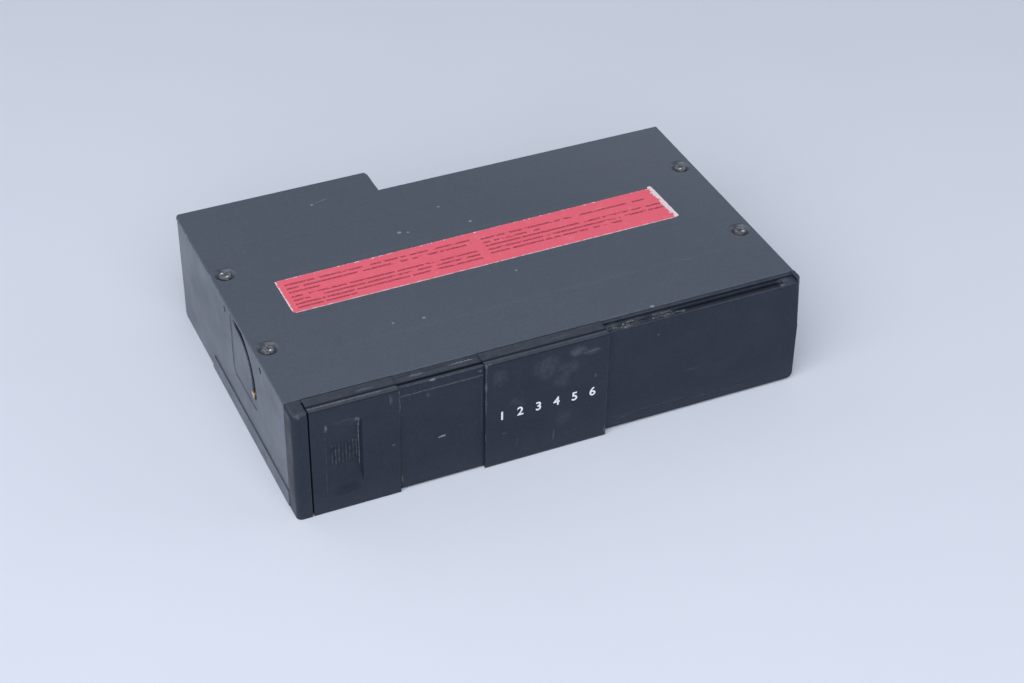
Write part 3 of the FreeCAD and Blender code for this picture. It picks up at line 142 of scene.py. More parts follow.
class Finish:
    """A node material under construction. Coordinates are the row frame's, in metres."""

    def __init__(self, name):
        self.material = bpy.data.materials.new(name)
        self.material.use_nodes = True
        self.tree = self.material.node_tree
        self.shader = self.tree.nodes["Principled BSDF"]
        self.place = self.tree.nodes.new("ShaderNodeTexCoord").outputs["Object"]

    def feed(self, socket, value):
        if isinstance(value, bpy.types.NodeSocket):
            self.tree.links.new(value, socket)
        elif hasattr(value, "__len__") and len(value) == 3 and socket.type == "RGBA":
            socket.default_value = (*value, 1)
        else:
            socket.default_value = value

    def math(self, operation, a, b=0.0, clamp=False):
        node = self.tree.nodes.new("ShaderNodeMath")
        node.operation = operation
        node.use_clamp = clamp
        self.feed(node.inputs[0], a)
        self.feed(node.inputs[1], b)
        return node.outputs[0]

    def step(self, value, low, high, to_low=0.0, to_high=1.0):
        """Smooth change from to_low to to_high as value goes from low to high."""
        node = self.tree.nodes.new("ShaderNodeMapRange")
        node.interpolation_type = "SMOOTHSTEP"
        self.feed(node.inputs["Value"], value)
        for socket, number in zip(("From Min", "From Max", "To Min", "To Max"), (low, high, to_low, to_high)):
            self.feed(node.inputs[socket], number)
        return node.outputs[0]

    def blend(self, share, a, b):
        """Colour a where share is 0, and b where it is 1."""
        node = self.tree.nodes.new("ShaderNodeMix")
        node.data_type = "RGBA"
        self.feed(node.inputs["Factor"], share)
        self.feed(node.inputs[6], a)
        self.feed(node.inputs[7], b)
        return node.outputs[2]

    def vector(self, operation, a, b):
        node = self.tree.nodes.new("ShaderNodeVectorMath")
        node.operation = operation
        self.feed(node.inputs[0], a)
        self.feed(node.inputs[1], b)
        return node.outputs["Value"] if operation in ("LENGTH", "DOT_PRODUCT") else node.outputs[0]

    def noise(self, scale, detail=2.0, roughness=0.5, stretch=None, seed=0.0):
        """Noise with features about 1/scale metres across, from 0 to 1."""
        place = self.place
        if stretch is not None:
            place = self.vector("MULTIPLY", place, stretch)
        if seed:
            place = self.vector("ADD", place, (seed, seed * 0.7, seed * 1.3))
        node = self.tree.nodes.new("ShaderNodeTexNoise")
        self.feed(node.inputs["Vector"], place)
        node.inputs["Scale"].default_value = scale
        node.inputs["Detail"].default_value = detail
        node.inputs["Roughness"].default_value = roughness
        return node.outputs[0]

    def triple(self, value):
        """Vector with one value on all its axes."""
        node = self.tree.nodes.new("ShaderNodeCombineXYZ")
        for socket in node.inputs:
            self.feed(socket, value)
        return node.outputs[0]

    def axis(self, name):
        node = self.tree.nodes.new("ShaderNodeSeparateXYZ")
        self.tree.links.new(self.place, node.inputs[0])
        return node.outputs["XYZ".index(name)]

    def edge_mask(self, radius, low=0.01, high=0.12):
        """1 on sharp edges, fading to 0 within about the radius."""
        geometry = self.tree.nodes.new("ShaderNodeNewGeometry")
        facing = self.vector("DOT_PRODUCT", self.round_edges(radius), geometry.outputs["Normal"])
        return self.step(self.math("SUBTRACT", 1.0, facing), low, high)

    def facing_mask(self, direction, low=0.6, high=0.9):
        """1 where the surface faces a direction of the row frame at rest."""
        coordinates = self.tree.nodes.new("ShaderNodeTexCoord")
        facing = self.vector("DOT_PRODUCT", coordinates.outputs["Normal"], direction)
        return self.step(facing, low, high)

    def round_edges(self, radius):
        """Normal that rounds sharp edges within the radius."""
        bevel = self.tree.nodes.new("ShaderNodeBevel")
        bevel.samples = BEVEL_SAMPLES
        bevel.inputs["Radius"].default_value = radius
        return bevel.outputs[0]

    def bump(self, height, depth, normal=None):
        """Surface relief: height from 0 to 1 stands for depth in metres."""
        node = self.tree.nodes.new("ShaderNodeBump")
        node.inputs["Distance"].default_value = depth
        self.feed(node.inputs["Height"], height)
        if normal is not None:
            self.feed(node.inputs["Normal"], normal)
        return node.outputs[0]

    def most(self, masks):
        """Highest of several masks."""
        total = masks[0]
        for mask in masks[1:]:
            total = self.math("MAXIMUM", total, mask)
        return total

    def done(self, colour, roughness, metallic=0.0, normal=None, specular=0.5, coat=None):
        """The material, with its shader fed."""
        self.feed(self.shader.inputs["Base Color"], colour)
        self.feed(self.shader.inputs["Roughness"], roughness)
        self.feed(self.shader.inputs["Metallic"], metallic)
        self.shader.inputs["Specular IOR Level"].default_value = specular
        if coat is not None:
            self.shader.inputs["Coat Weight"].default_value = coat
            self.shader.inputs["Coat Roughness"].default_value = COAT_ROUGHNESS
        if normal is not None:
            self.feed(self.shader.inputs["Normal"], normal)
        return self.material


class Marks:
    """Spots and scratches on a finish. They share one shaken place, which makes their edges uneven."""

    def __init__(self, finish, shake=0.9, scale=900.0):
        self.finish = finish
        noise = finish.tree.nodes.new("ShaderNodeTexNoise")
        finish.feed(noise.inputs["Vector"], finish.place)
        noise.inputs["Scale"].default_value = scale
        noise.inputs["Detail"].default_value = 3.0
        offset = finish.vector("SUBTRACT", noise.outputs["Color"], (0.5, 0.5, 0.5))
        offset = finish.vector("MULTIPLY", offset, (shake * MM,) * 3)
        self.place = finish.vector("ADD", finish.place, offset)
        self.mask = 0.0

    def add(self, length, reach, share):
        mask = self.finish.step(length, reach, reach * 0.35, 0.0, share)
        self.mask = self.finish.math("MAXIMUM", self.mask, mask)

    def spot(self, centre, size, share):
        """Patch with three half sizes in millimetres about a point of the case's frame."""
        offset = self.finish.vector("SUBTRACT", self.place, tuple(at(*centre)))
        offset = self.finish.vector("DIVIDE", offset, tuple(length * MM for length in size))
        self.add(self.finish.vector("LENGTH", offset, (0, 0, 0)), 1.0, share)

    def scratch(self, start, end, width, share):
        """Straight mark between two points of the case's frame."""
        first, along = at(*start), at(*end) - at(*start)
        offset = self.finish.vector("SUBTRACT", self.place, tuple(first))
        reach = self.finish.vector("DOT_PRODUCT", offset, tuple(along / along.length_squared))
        reach = self.finish.math("MULTIPLY", reach, 1.0, clamp=True)
        nearest = self.finish.vector("MULTIPLY", tuple(along), self.finish.triple(reach))
        offset = self.finish.vector("SUBTRACT", offset, nearest)
        self.add(self.finish.vector("LENGTH", offset, (0, 0, 0)), width * MM, share)

    def rubbed(self, low=0.36, high=0.60, scale=1500.0):
        """The marks broken up by a fine noise."""
        broken = self.finish.step(self.finish.noise(scale, 3.0, 0.75, seed=8.2), low, high, 0.08, 1.0)
        return self.finish.math("MULTIPLY", self.mask, broken)


# ---------------------------------------------------------------- finishes

PAINT = (0.064, 0.077, 0.105)
PAINT_WORN = (0.17, 0.19, 0.22)
PLASTIC = (0.0085, 0.0138, 0.0265)
# Pale colour for mottling, for dust and for painted bounce light
PLASTIC_DUST_AND_BOUNCE_LIGHT = (0.050, 0.059, 0.079)
PLASTIC_DARK = (0.003, 0.005, 0.010)
# Pale colour for scuffs and for painted highlights
SCUFF_AND_HIGHLIGHT = (0.30, 0.315, 0.35)

# Marks in the case's frame, in millimetres. Spots, smudges, and patches of painted light and shade: middle,
# half sizes, share of cover.
# Scratches, seams, and lines of painted shade and painted highlight: two ends, half width, share of cover.
COVER_SPOTS = (
    ((64.5, 142.3, 59.3), (1.2, 1.2, 1.0), 0.70), ((95.0, 102.4, 59.3), (1.4, 1.2, 1.0), 1.0),
    ((99.0, 101.0, 59.3), (1.0, 0.9, 1.0), 0.8), ((130.5, 98.2, 59.3), (1.2, 1.0, 1.0), 1.0),
    ((121.0, 116.0, 59.3), (1.0, 0.9, 1.0), 0.8), ((79.8, 33.6, 59.3), (1.1, 1.0, 1.0), 1.0),
    ((65.5, 35.2, 59.3), (1.0, 0.9, 1.0), 0.7), ((134.0, 51.4, 59.3), (0.9, 0.9, 1.0), 0.8),
    ((180.0, 0.6, 59.2), (1.8, 0.9, 1.0), 1.0), ((0.3, 155.5, 58.4), (0.8, 1.6, 1.2), 0.40),
    ((0.3, 150.0, 58.0), (0.8, 2.4, 1.6), 0.36), ((0.3, 141.0, 58.6), (0.8, 1.4, 0.9), 0.40),
    ((0.2, 104.0, 58.8), (0.7, 3.0, 0.8), 0.25), ((0.2, 92.0, 58.8), (0.7, 1.2, 0.8), 0.30))
COVER_SCRATCHES = (
    ((66.5, 142.9, 59.3), (72.5, 144.6, 59.3), 0.45, 0.42),
    ((121.0, 57.0, 59.3), (123.5, 56.0, 59.3), 0.3, 0.3),
    ((30.0, 118.0, 59.3), (37.0, 117.0, 59.3), 0.25, 0.18),
    ((205.0, 30.0, 59.3), (220.0, 26.0, 59.3), 0.25, 0.14))
DOOR_SPOTS = (
    ((15.6, -10.8, 47.8), (1.0, 1.0, 2.8), 0.55), ((30.0, -10.8, 48.6), (2.0, 1.4, 1.5), 0.50),
    ((46.9, -10.8, 28.7), (1.5, 0.8, 0.5), 0.30), ((46.2, -10.8, 54.5), (1.0, 0.8, 2.6), 0.20),
    ((66.6, -9.3, 58.4), (2.2, 0.9, 0.8), 0.75), ((36.0, -4.7, 59.4), (5.5, 0.6, 1.0), 0.40),
    ((61.0, -3.0, 58.6), (4.8, 1.5, 1.0), 0.36), ((83.5, -2.5, 58.6), (9.0, 0.6, 1.0), 0.90),
    ((64.2, -9.3, 50.5), (1.0, 0.8, 1.4), 0.20), ((89.4, -9.3, 56.2), (1.6, 0.8, 0.7), 0.40),
    ((50.5, -9.3, 55.5), (0.8, 0.8, 2.2), 0.40), ((24.5, -10.6, 50.0), (7.0, 0.8, 0.5), 0.10))
DOOR_SCRATCHES_AND_HIGHLIGHTS = (
    # The first two lines and the last run along top edges: partly wear, partly painted highlight.
    ((8.6, -8.7, 59.4), (42.0, -8.7, 59.4), 0.75, 0.36), ((42.0, -8.7, 59.4), (49.7, -8.8, 59.4), 0.6, 0.16),
    ((50.0, -9.4, 53.6), (90.5, -9.4, 53.6), 0.50, 0.24),
    ((50.4, -9.3, 56.0), (50.9, -9.3, 46.0), 0.40, 0.30),
    ((50.8, -9.3, 46.0), (50.4, -9.3, 38.0), 0.30, 0.15),
    ((15.0, -10.6, 45.0), (15.0, -10.6, 11.5), 0.32, 0.26),
    ((31.2, -10.2, 48.5), (31.1, -8.9, 44.0), 0.40, 0.45),
    ((31.1, -8.8, 44.0), (31.1, -8.8, 22.0), 0.36, 0.40),
    ((31.3, -9.2, 22.0), (31.5, -10.6, 12.0), 0.32, 0.20),
    ((69.2, -9.3, 24.8), (72.2, -9.3, 25.0), 0.55, 1.0),
    ((45.4, -10.8, 57.5), (46.0, -10.8, 52.0), 0.3, 0.16), ((51.0, -9.3, 8.5), (51.4, -9.3, 4.0), 0.40, 0.25),
    ((15.0, -10.7, 46.8), (18.6, -10.6, 45.4), 0.30, 0.30),
    ((89.9, -9.3, 52.0), (90.2, -9.3, 22.0), 0.3, 0.10),
    ((54.0, -9.3, 58.6), (90.0, -9.3, 58.6), 0.4, 0.16))
# The first patch is painted shade on the lower slope of the grip's recess; the other two are dirt.
DOOR_SHADE_AND_DIRT = (
    ((24.5, -10.8, 10.8), (10.0, 1.5, 3.4), 0.50), ((38.0, -10.8, 47.0), (7.0, 1.5, 6.0), 0.20),
    ((70.0, -9.3, 35.0), (14.0, 1.5, 10.0), 0.20))
# Painted shade: dark lines along the grooves and gaps of the door's top, and under its front top edge.
DOOR_GROOVE_SHADE = (
    ((8.2, -6.9, 59.1), (49.8, -6.9, 59.1), 0.95, 0.92), ((8.2, -0.5, 59.4), (49.8, -0.5, 59.4), 0.65, 0.85),
    ((49.8, -6.7, 58.1), (96.0, -6.7, 58.1), 1.45, 0.95),
    ((8.2, -10.7, 58.8), (49.8, -10.7, 58.8), 0.55, 0.60),
    ((49.8, -2.1, 58.4), (91.0, -2.1, 58.4), 0.45, 0.50))
CENTRE_SPOTS = (
    ((91.7, -10.6, 58.6), (0.9, 1.5, 1.2), 0.45), ((93.6, -10.2, 59.2), (1.2, 1.0, 0.7), 0.25),
    ((152.2, -10.6, 3.6), (0.7, 1.2, 3.0), 0.30), ((91.6, -10.6, 47.0), (0.9, 1.0, 4.0), 0.34),
    ((91.6, -10.6, 38.0), (0.8, 1.0, 3.0), 0.22), ((131.0, -4.0, 59.4), (8.0, 1.2, 1.0), 0.12))
CENTRE_SCRATCHES_AND_HIGHLIGHTS = (
    ((91.6, -10.6, 58.0), (91.6, -10.6, 33.0), 0.60, 0.16),
    ((91.5, -10.7, 20.0), (91.5, -10.7, 16.0), 0.40, 0.20),
    ((152.4, -10.7, 56.0), (152.4, -10.7, 6.0), 0.25, 0.08),
    ((92.0, -10.6, 0.3), (152.0, -10.6, 0.3), 0.5, 0.42),
    ((125.8, -10.8, 11.5), (125.4, -10.8, 6.0), 0.45, 0.16),
    ((107.2, -10.8, 12.5), (106.8, -10.8, 8.0), 0.4, 0.10),
    ((100.0, -10.8, 18.0), (101.6, -10.8, 17.6), 0.4, 0.20),
    ((146.3, -10.8, 38.2), (146.3, -10.8, 36.6), 0.4, 0.30),
    ((140.0, -10.8, 52.0), (147.5, -10.8, 52.4), 0.50, 0.16),
    # The last line, along the top edge, is partly wear, partly painted highlight.
    ((92.0, -8.7, 59.4), (152.0, -8.6, 59.4), 0.70, 0.14))
CENTRE_SMUDGES = (
    ((98.6, -10.8, 50.5), (5.5, 1.6, 6.0), 0.08), ((121.0, -10.8, 49.5), (9.0, 1.6, 7.5), 0.10),
    ((137.0, -10.8, 54.4), (5.5, 1.6, 3.6), 0.20), ((143.5, -10.8, 52.6), (7.0, 1.6, 2.6), 0.12),
    ((129.0, -10.8, 40.0), (6.0, 1.6, 7.5), 0.08), ((133.0, -10.8, 46.5), (10.0, 1.6, 5.5), 0.08),
    ((107.0, -10.8, 33.5), (6.0, 1.6, 4.0), 0.05), ((130.0, -10.8, 18.0), (5.0, 1.6, 8.0), 0.05))
CENTRE_DIRT = (
    ((112.0, -10.8, 44.0), (7.0, 1.5, 6.0), 0.15), ((140.0, -10.8, 28.0), (8.0, 1.5, 9.0), 0.15))
# Painted shade: dark lines along the grooves and gaps of the middle panel's top, and under its front top
# edge.
CENTRE_GROOVE_SHADE = (
    ((91.3, -6.9, 59.1), (152.6, -6.9, 59.1), 0.95, 0.85),
    ((91.3, -0.5, 59.4), (152.6, -0.5, 59.4), 0.65, 0.80),
    ((91.3, -10.7, 58.7), (152.6, -10.7, 58.7), 0.60, 0.45))
# The first spot is a painted highlight on the cheek's rounded corner; the spot at x 247.5 is painted light on
# the ledge; the rest are scuffs.
BEZEL_SPOTS_AND_LIGHT = (
    ((3.4, -9.6, 57.6), (1.6, 1.8, 1.6), 0.30), ((157.0, -3.4, 57.2), (6.0, 2.6, 1.2), 0.20),
    ((170.0, -4.0, 57.2), (9.0, 2.8, 1.2), 0.17), ((183.0, -4.0, 57.2), (8.0, 2.8, 1.2), 0.20),
    ((154.5, -4.8, 57.4), (2.6, 0.7, 1.0), 0.55), ((175.0, -4.6, 57.4), (3.0, 0.6, 1.0), 0.50),
    ((190.5, -5.0, 57.4), (2.6, 0.8, 1.0), 0.90), ((163.0, -6.6, 57.4), (6.0, 0.8, 1.0), 0.20),
    ((247.5, -3.0, 57.4), (4.0, 2.4, 1.0), 0.16), ((245.5, -6.3, 57.4), (1.8, 0.7, 0.8), 0.60),
    ((179.5, -7.9, 48.8), (0.6, 0.8, 0.6), 0.30), ((253.6, -6.8, 58.4), (1.4, 1.2, 0.8), 0.25))
BEZEL_SCRATCHES_AND_HIGHLIGHTS = (
    # The first line, along the plate's top edge, is partly wear, partly painted highlight.
    ((200.0, -7.4, 57.1), (246.0, -7.4, 57.1), 0.45, 0.07),
    ((153.4, -7.9, 56.0), (153.4, -7.9, 4.0), 0.30, 0.10),
    ((157.0, -7.9, 6.8), (196.0, -7.9, 6.8), 0.25, 0.10),
    ((199.0, -7.9, 27.5), (216.0, -7.9, 27.8), 0.22, 0.05),
    ((254.8, -4.4, 57.0), (254.9, -3.2, 10.0), 0.60, 0.26),
    ((178.0, -3.0, 57.2), (188.0, -2.8, 57.2), 0.35, 0.40))
# Painted shade: dark lines in the slot and the groove of the ledge behind the right-hand face.
BEZEL_GROOVE_SHADE = (
    ((152.0, -4.6, 57.0), (243.0, -4.6, 57.0), 3.0, 0.85),
    ((152.0, -6.8, 57.2), (244.0, -6.8, 57.2), 0.8, 0.60))
BEZEL_FLECKS = (
    ((163.0, -4.6, 57.0), (13.0, 3.2, 2.0), 0.8), ((182.0, -4.6, 57.0), (11.0, 2.8, 2.0), 0.9),
    ((192.0, -4.8, 57.0), (4.0, 1.6, 2.0), 1.0))
SIDE_SPOTS = (
    ((0.6, 49.6, 39.2), (0.8, 1.2, 2.6), 0.30), ((0.6, 54.0, 46.0), (0.8, 1.6, 1.4), 0.30),
    ((0.6, 62.0, 51.0), (0.8, 2.4, 0.7), 0.25), ((0.0, 40.0, 12.0), (0.8, 0.8, 0.8), 0.35),
    ((0.6, 47.0, 14.0), (0.8, 0.6, 1.6), 0.30), ((0.6, 56.0, 11.5), (0.8, 0.7, 0.8), 0.35),
    ((0.6, 66.0, 10.2), (0.8, 0.6, 1.0), 0.30), ((0.6, 84.0, 57.0), (0.8, 1.4, 1.0), 0.40),
    ((0.6, 36.0, 8.0), (0.8, 1.2, 0.8), 0.30), ((0.6, 76.0, 12.5), (0.8, 0.7, 0.7), 0.25))
SIDE_SCRATCHES = (
    ((0.6, 43.0, 12.5), (0.6, 62.0, 14.5), 0.22, 0.20), ((0.6, 132.8, 38.0), (0.6, 133.4, 20.0), 0.45, 0.10),
    ((0.6, 52.0, 9.8), (0.6, 70.0, 12.0), 0.22, 0.16), ((0.6, 24.0, 30.0), (0.6, 27.0, 21.0), 0.25, 0.12),
    ((0.6, 96.0, 33.0), (0.6, 108.0, 26.0), 0.25, 0.10), ((0.0, 8.0, 8.2), (0.0, 100.0, 8.2), 0.25, 0.14))
SIDE_SEAMS = (
    ((0.6, 134.2, 38.0), (0.6, 134.8, 20.0), 0.50, 0.45), ((0.6, 33.0, 53.5), (0.6, 33.1, 53.5), 2.0, 0.50),
    ((0.6, 84.0, 53.5), (0.6, 84.1, 53.5), 2.0, 0.50), ((0.6, 41.5, 24.5), (0.6, 58.0, 22.6), 0.35, 0.25))
# Arc slot in the side wall: x of the wall, pivot's y and z, radius of the slot's lower edge, its angles
SIDE_X = 0.6
SLOT_PIVOT = (70.0, 30.5)
SLOT_EDGE = 21.1
SLOT_DEGREES = range(100, 178, 13)
# Painted glints on the cover's screws
SCREW_GLINTS = (
    ((7.4, 38.4, 58.0), (1.2, 1.0, 3.0), 1.0), ((6.0, 103.6, 58.0), (0.9, 0.9, 3.0), 0.9),
    ((7.4, 100.4, 58.0), (1.1, 1.0, 3.0), 1.0), ((248.8, 38.6, 58.0), (0.9, 0.9, 3.0), 0.9),
    ((247.3, 100.6, 58.0), (1.0, 0.9, 3.0), 1.0))
# Painted shade at the back of the dishes round the cover's four screws
SCREW_XS = (7.0, 248.0)
SCREW_YS = (39.8, 102.0)
DISH_SHADE = tuple(((x, y + 4.6, 58.9), (4.8, 1.7, 1.4), 0.62) for x in SCREW_XS for y in SCREW_YS)
# Upper and lower z of the rubbed length on each rib of the grip, left to right
GRIP_RIBS = ((33.0, 26.5), (34.5, 26.0), (36.5, 27.0), (33.5, 26.0), (36.0, 26.5), (34.0, 27.5), (37.5, 27.0),
             (38.5, 27.5))
GRIP_LEFT_X = 15.3
FIRST_RIB_X = 17.9
RIB_PITCH = 1.7
# How far the grip's floor goes back for each millimetre to the right
GRIP_SLOPE = 0.108


def slot_edge_scratches():
    """Bare metal along the lower edge of the arc slot, in short straight lengths."""
    points = []
    for degrees in SLOT_DEGREES:
        angle = math.radians(degrees)
        y = SLOT_PIVOT[0] + SLOT_EDGE * math.cos(angle)
        z = SLOT_PIVOT[1] + SLOT_EDGE * math.sin(angle)
        points.append((SIDE_X, y, z))
    return tuple((a, b, 0.55, 0.75) for a, b in zip(points, points[1:]))


def rib_scratches():
    """Rubbed tops of the grip's ribs."""
    lines = []
    for index, (top, bottom) in enumerate(GRIP_RIBS):
        x = FIRST_RIB_X + index * RIB_PITCH
        y = FRONT_Y / MM + 0.1 + (x - GRIP_LEFT_X) * GRIP_SLOPE
        lines.append(((x, y, top), (x, y, bottom), 0.30, 0.18 + 0.05 * (index % 3)))
    return tuple(lines)


def grime(finish, colour, dusty, amount=0.35):
    """Broad uneven dust over a colour."""
    cloud = finish.step(finish.noise(14.0, 5.0, 0.62), 0.40, 0.78)
    patch = finish.step(finish.noise(70.0, 4.0, 0.6, seed=3.1), 0.42, 0.80)
    share = finish.math("MULTIPLY", finish.math("ADD", cloud, patch), amount * 0.5)
    return finish.blend(share, colour, dusty)


def draw_marks(finish, spots=(), scratches=(), shake=0.9, scale=900.0):
    """Marks object that holds a table of spots and a table of scratches."""
    marks = Marks(finish, shake, scale)
    for centre, size, share in spots:
        marks.spot(centre, size, share)
    for start, end, width, share in scratches:
        marks.scratch(start, end, width, share)
    return marks


def clouded(finish, scale, low, high):
    """Slow noise as a share between two values."""
    return finish.step(finish.noise(scale, 3.0, 0.6, seed=3.7), 0.35, 0.65, low, high)


def case_paint():
    """Dark blue-grey paint: flecked and dusty, with painted sheen towards the rear right, painted light on
    the left side, painted shade in the screw dishes, with its marks.
    """
    finish = Finish("case_paint")
    colour = grime(finish, PAINT, (0.082, 0.096, 0.124))
    grain = finish.noise(900.0, 2.0, 0.6)
    fleck = finish.step(finish.noise(1500.0, 2.0, 0.7, seed=1.7), 0.66, 0.80)
    colour = finish.blend(finish.math("MULTIPLY", fleck, 0.22), colour, PAINT_WORN)
    patchy = finish.step(finish.noise(160.0, 4.0, 0.7), 0.36, 0.66)
    rubbed = finish.math("MULTIPLY", finish.edge_mask(0.0007), patchy)
    colour = finish.blend(finish.math("MULTIPLY", rubbed, 0.55), colour, PAINT_WORN)
    dashes = finish.step(finish.noise(60.0, 3.0, 0.6, stretch=(1.0, 6.0, 6.0), seed=5.3), 0.735, 0.78)
    colour = finish.blend(finish.math("MULTIPLY", dashes, 0.30), colour, PAINT_WORN)
    # Painted sheen: the paint is painted paler towards the rear right.
    slope = finish.vector("DOT_PRODUCT", finish.place, (0.7, 0.7, 0.0))
    pale = finish.step(slope, 0.02, 0.15, 0.0, 0.9)
    colour = finish.blend(pale, colour, (0.094, 0.109, 0.142))
    speck = finish.step(finish.noise(1150.0, 3.0, 0.85, seed=5.5), 0.36, 0.64)
    colour = finish.blend(finish.math("MULTIPLY", speck, 0.26), colour, (0.135, 0.150, 0.180))
    # Painted light: faces turned to the left are painted paler, as if lit from the left.
    left = finish.facing_mask((-1, 0, 0), 0.5, 0.9)
    left_side_light = finish.math("MULTIPLY", left, clouded(finish, 30.0, 0.25, 0.9))
    colour = finish.blend(left_side_light, colour, (0.110, 0.127, 0.160))
    seams_and_groove_shade = draw_marks(finish, (), SIDE_SEAMS)
    colour = finish.blend(seams_and_groove_shade.mask, colour, (0.030, 0.036, 0.050))
    scratches = COVER_SCRATCHES + SIDE_SCRATCHES + slot_edge_scratches()
    marks = draw_marks(finish, COVER_SPOTS + SIDE_SPOTS, scratches)
    colour = finish.blend(marks.rubbed(0.30, 0.52), colour, SCUFF_AND_HIGHLIGHT)
    # Painted shade at the back of the screw dishes.
    dirt_and_shade = draw_marks(finish, DISH_SHADE, shake=1.2)
    colour = finish.blend(dirt_and_shade.mask, colour, (0.022, 0.027, 0.038))
    rough = finish.step(finish.noise(45.0, 4.0, 0.6, seed=2.2), 0.3, 0.75, 0.36, 0.50)
    normal = finish.bump(grain, 0.00003, finish.round_edges(0.0005))
    return finish.done(colour, rough, 0.0, normal)


def front_plastic(name, spots=(), scratches=(), dirt_and_shade=(), seams_and_groove_shade=(), smudges=(), flecks=()):
    """Charcoal plastic: mottled, dusty on top, painted paler towards the bottom as bounce light, scuffed at
    its edges, with its own marks, among them painted shade and painted highlights.
    """
    finish = Finish(name)
    colour = grime(finish, PLASTIC, (0.018, 0.025, 0.041), 0.6)
    mottle = finish.step(finish.noise(900.0, 4.0, 0.8, seed=4.4), 0.36, 0.66)
    colour = finish.blend(finish.math("MULTIPLY", mottle, 0.15), colour, PLASTIC_DUST_AND_BOUNCE_LIGHT)
    dust = finish.math("MULTIPLY", finish.facing_mask((0, 0, 1), 0.55, 0.97), 0.95)
    # Painted light: the lowest 18 mm are painted paler, as if lit by light bounced off the floor.
    low = finish.step(finish.axis("Z"), 0.018, 0.001, 0.0, 0.16)
    clouds = finish.step(finish.noise(260.0, 4.0, 0.7, seed=7.0), 0.30, 0.62, 0.62, 1.0)
    dust_and_bounce_light = finish.math("MULTIPLY", finish.math("ADD", dust, low), clouds, clamp=True)
    colour = finish.blend(dust_and_bounce_light, colour, PLASTIC_DUST_AND_BOUNCE_LIGHT)
    fleck = finish.step(finish.noise(1700.0, 2.0, 0.7, seed=1.7), 0.68, 0.80)
    colour = finish.blend(finish.math("MULTIPLY", fleck, 0.12), colour, SCUFF_AND_HIGHLIGHT)
    patchy = finish.step(finish.noise(240.0, 5.0, 0.75), 0.48, 0.68)
    rubbed = finish.math("MULTIPLY", finish.edge_mask(0.0006), patchy)
    colour = finish.blend(finish.math("MULTIPLY", rubbed, 0.13), colour, SCUFF_AND_HIGHLIGHT)
    hair = finish.step(finish.noise(50.0, 3.0, 0.6, stretch=(1.0, 1.0, 9.0), seed=6.1), 0.70, 0.76)
    colour = finish.blend(finish.math("MULTIPLY", hair, 0.06), colour, SCUFF_AND_HIGHLIGHT)
    if smudges:
        cloudy = draw_marks(finish, smudges, shake=6.0, scale=120.0)
        colour = finish.blend(cloudy.rubbed(0.20, 0.80, 330.0), colour, SCUFF_AND_HIGHLIGHT)
    # Dirt, and painted shade in the door's grip recess.
    if dirt_and_shade:
        colour = finish.blend(draw_marks(finish, dirt_and_shade, shake=5.0, scale=300.0).mask, colour, PLASTIC_DARK)
    # Painted shade in grooves and gaps.
    if seams_and_groove_shade:
        colour = finish.blend(draw_marks(finish, (), seams_and_groove_shade, shake=0.3).mask, colour, PLASTIC_DARK)
    if flecks:
        specks = draw_marks(finish, flecks, shake=4.0, scale=400.0)
        colour = finish.blend(specks.rubbed(0.54, 0.66, 1000.0), colour, (0.42, 0.44, 0.48))
    # Scuffs and scratches, among them painted highlights along top edges and on the cheek's corner.
    if spots:
        colour = finish.blend(draw_marks(finish, spots, scratches).rubbed(), colour, SCUFF_AND_HIGHLIGHT)
    grain = finish.noise(1400.0, 2.0, 0.6)
    rough = finish.step(finish.noise(80.0, 4.0, 0.6, seed=2.2), 0.3, 0.75, 0.36, 0.54)
    normal = finish.bump(grain, 0.00004, finish.round_edges(0.0004))
    return finish.done(colour, rough, 0.0, normal, specular=0.28)


def plated(name, colour, direction=(1.0, 12.0, 1.0), rough=0.34):
    """Sheet or turned metal with a faint grain and clouded plating."""
    finish = Finish(name)
    streak = finish.noise(700.0, 3.0, 0.6, stretch=direction)
    cloud = finish.step(finish.noise(60.0, 4.0, 0.6, seed=4.0), 0.35, 0.75)
    dull = tuple(c * 0.72 for c in colour)
    shade = finish.blend(finish.math("MULTIPLY", cloud, 0.5), colour, dull)
    shade = finish.blend(finish.math("MULTIPLY", streak, 0.25), shade, dull)
    gloss = finish.step(streak, 0.3, 0.7, rough - 0.08, rough + 0.10)
    return finish.done(shade, gloss, 1.0, finish.bump(streak, 0.000012, finish.round_edges(0.0002)))


# Heights between which a face counts as the top of a cover screw's head, in metres
HEAD_TOP_Z = (0.0578, 0.0583)


def black_screw():
    """Blackened steel, worn bright at the rims and at the driver cross, each head to its own degree, with
    painted glints.
    """
    finish = Finish("black_screw")
    worn = finish.edge_mask(0.0004, 0.02, 0.25)
    patch = finish.step(finish.noise(900.0, 3.0, 0.7), 0.40, 0.64)
    degree = finish.step(finish.noise(19.0, 0.0, 0.5, seed=1.4), 0.36, 0.62, 0.35, 1.0)
    share = finish.math("ADD", finish.math("MULTIPLY", worn, 0.8), finish.math("MULTIPLY", patch, 0.3))
    share = finish.math("MULTIPLY", share, degree, clamp=True)
    upper = finish.step(finish.axis("Z"), *HEAD_TOP_Z)
    flat = finish.math("MULTIPLY", finish.facing_mask((0, 0, 1), 0.9, 0.99), upper)
    share = finish.math("MAXIMUM", share, finish.math("MULTIPLY", flat, clouded(finish, 700.0, 0.10, 0.60)))
    colour = finish.blend(share, (0.022, 0.024, 0.028), (0.36, 0.38, 0.41))
    # Painted highlights: bright glints on the screw heads.
    glints = draw_marks(finish, SCREW_GLINTS, shake=0.5)
    colour = finish.blend(glints.mask, colour, (0.80, 0.82, 0.86))
    return finish.done(colour, 0.48, finish.math("MULTIPLY", share, 0.4), finish.bump(patch, 0.00003))


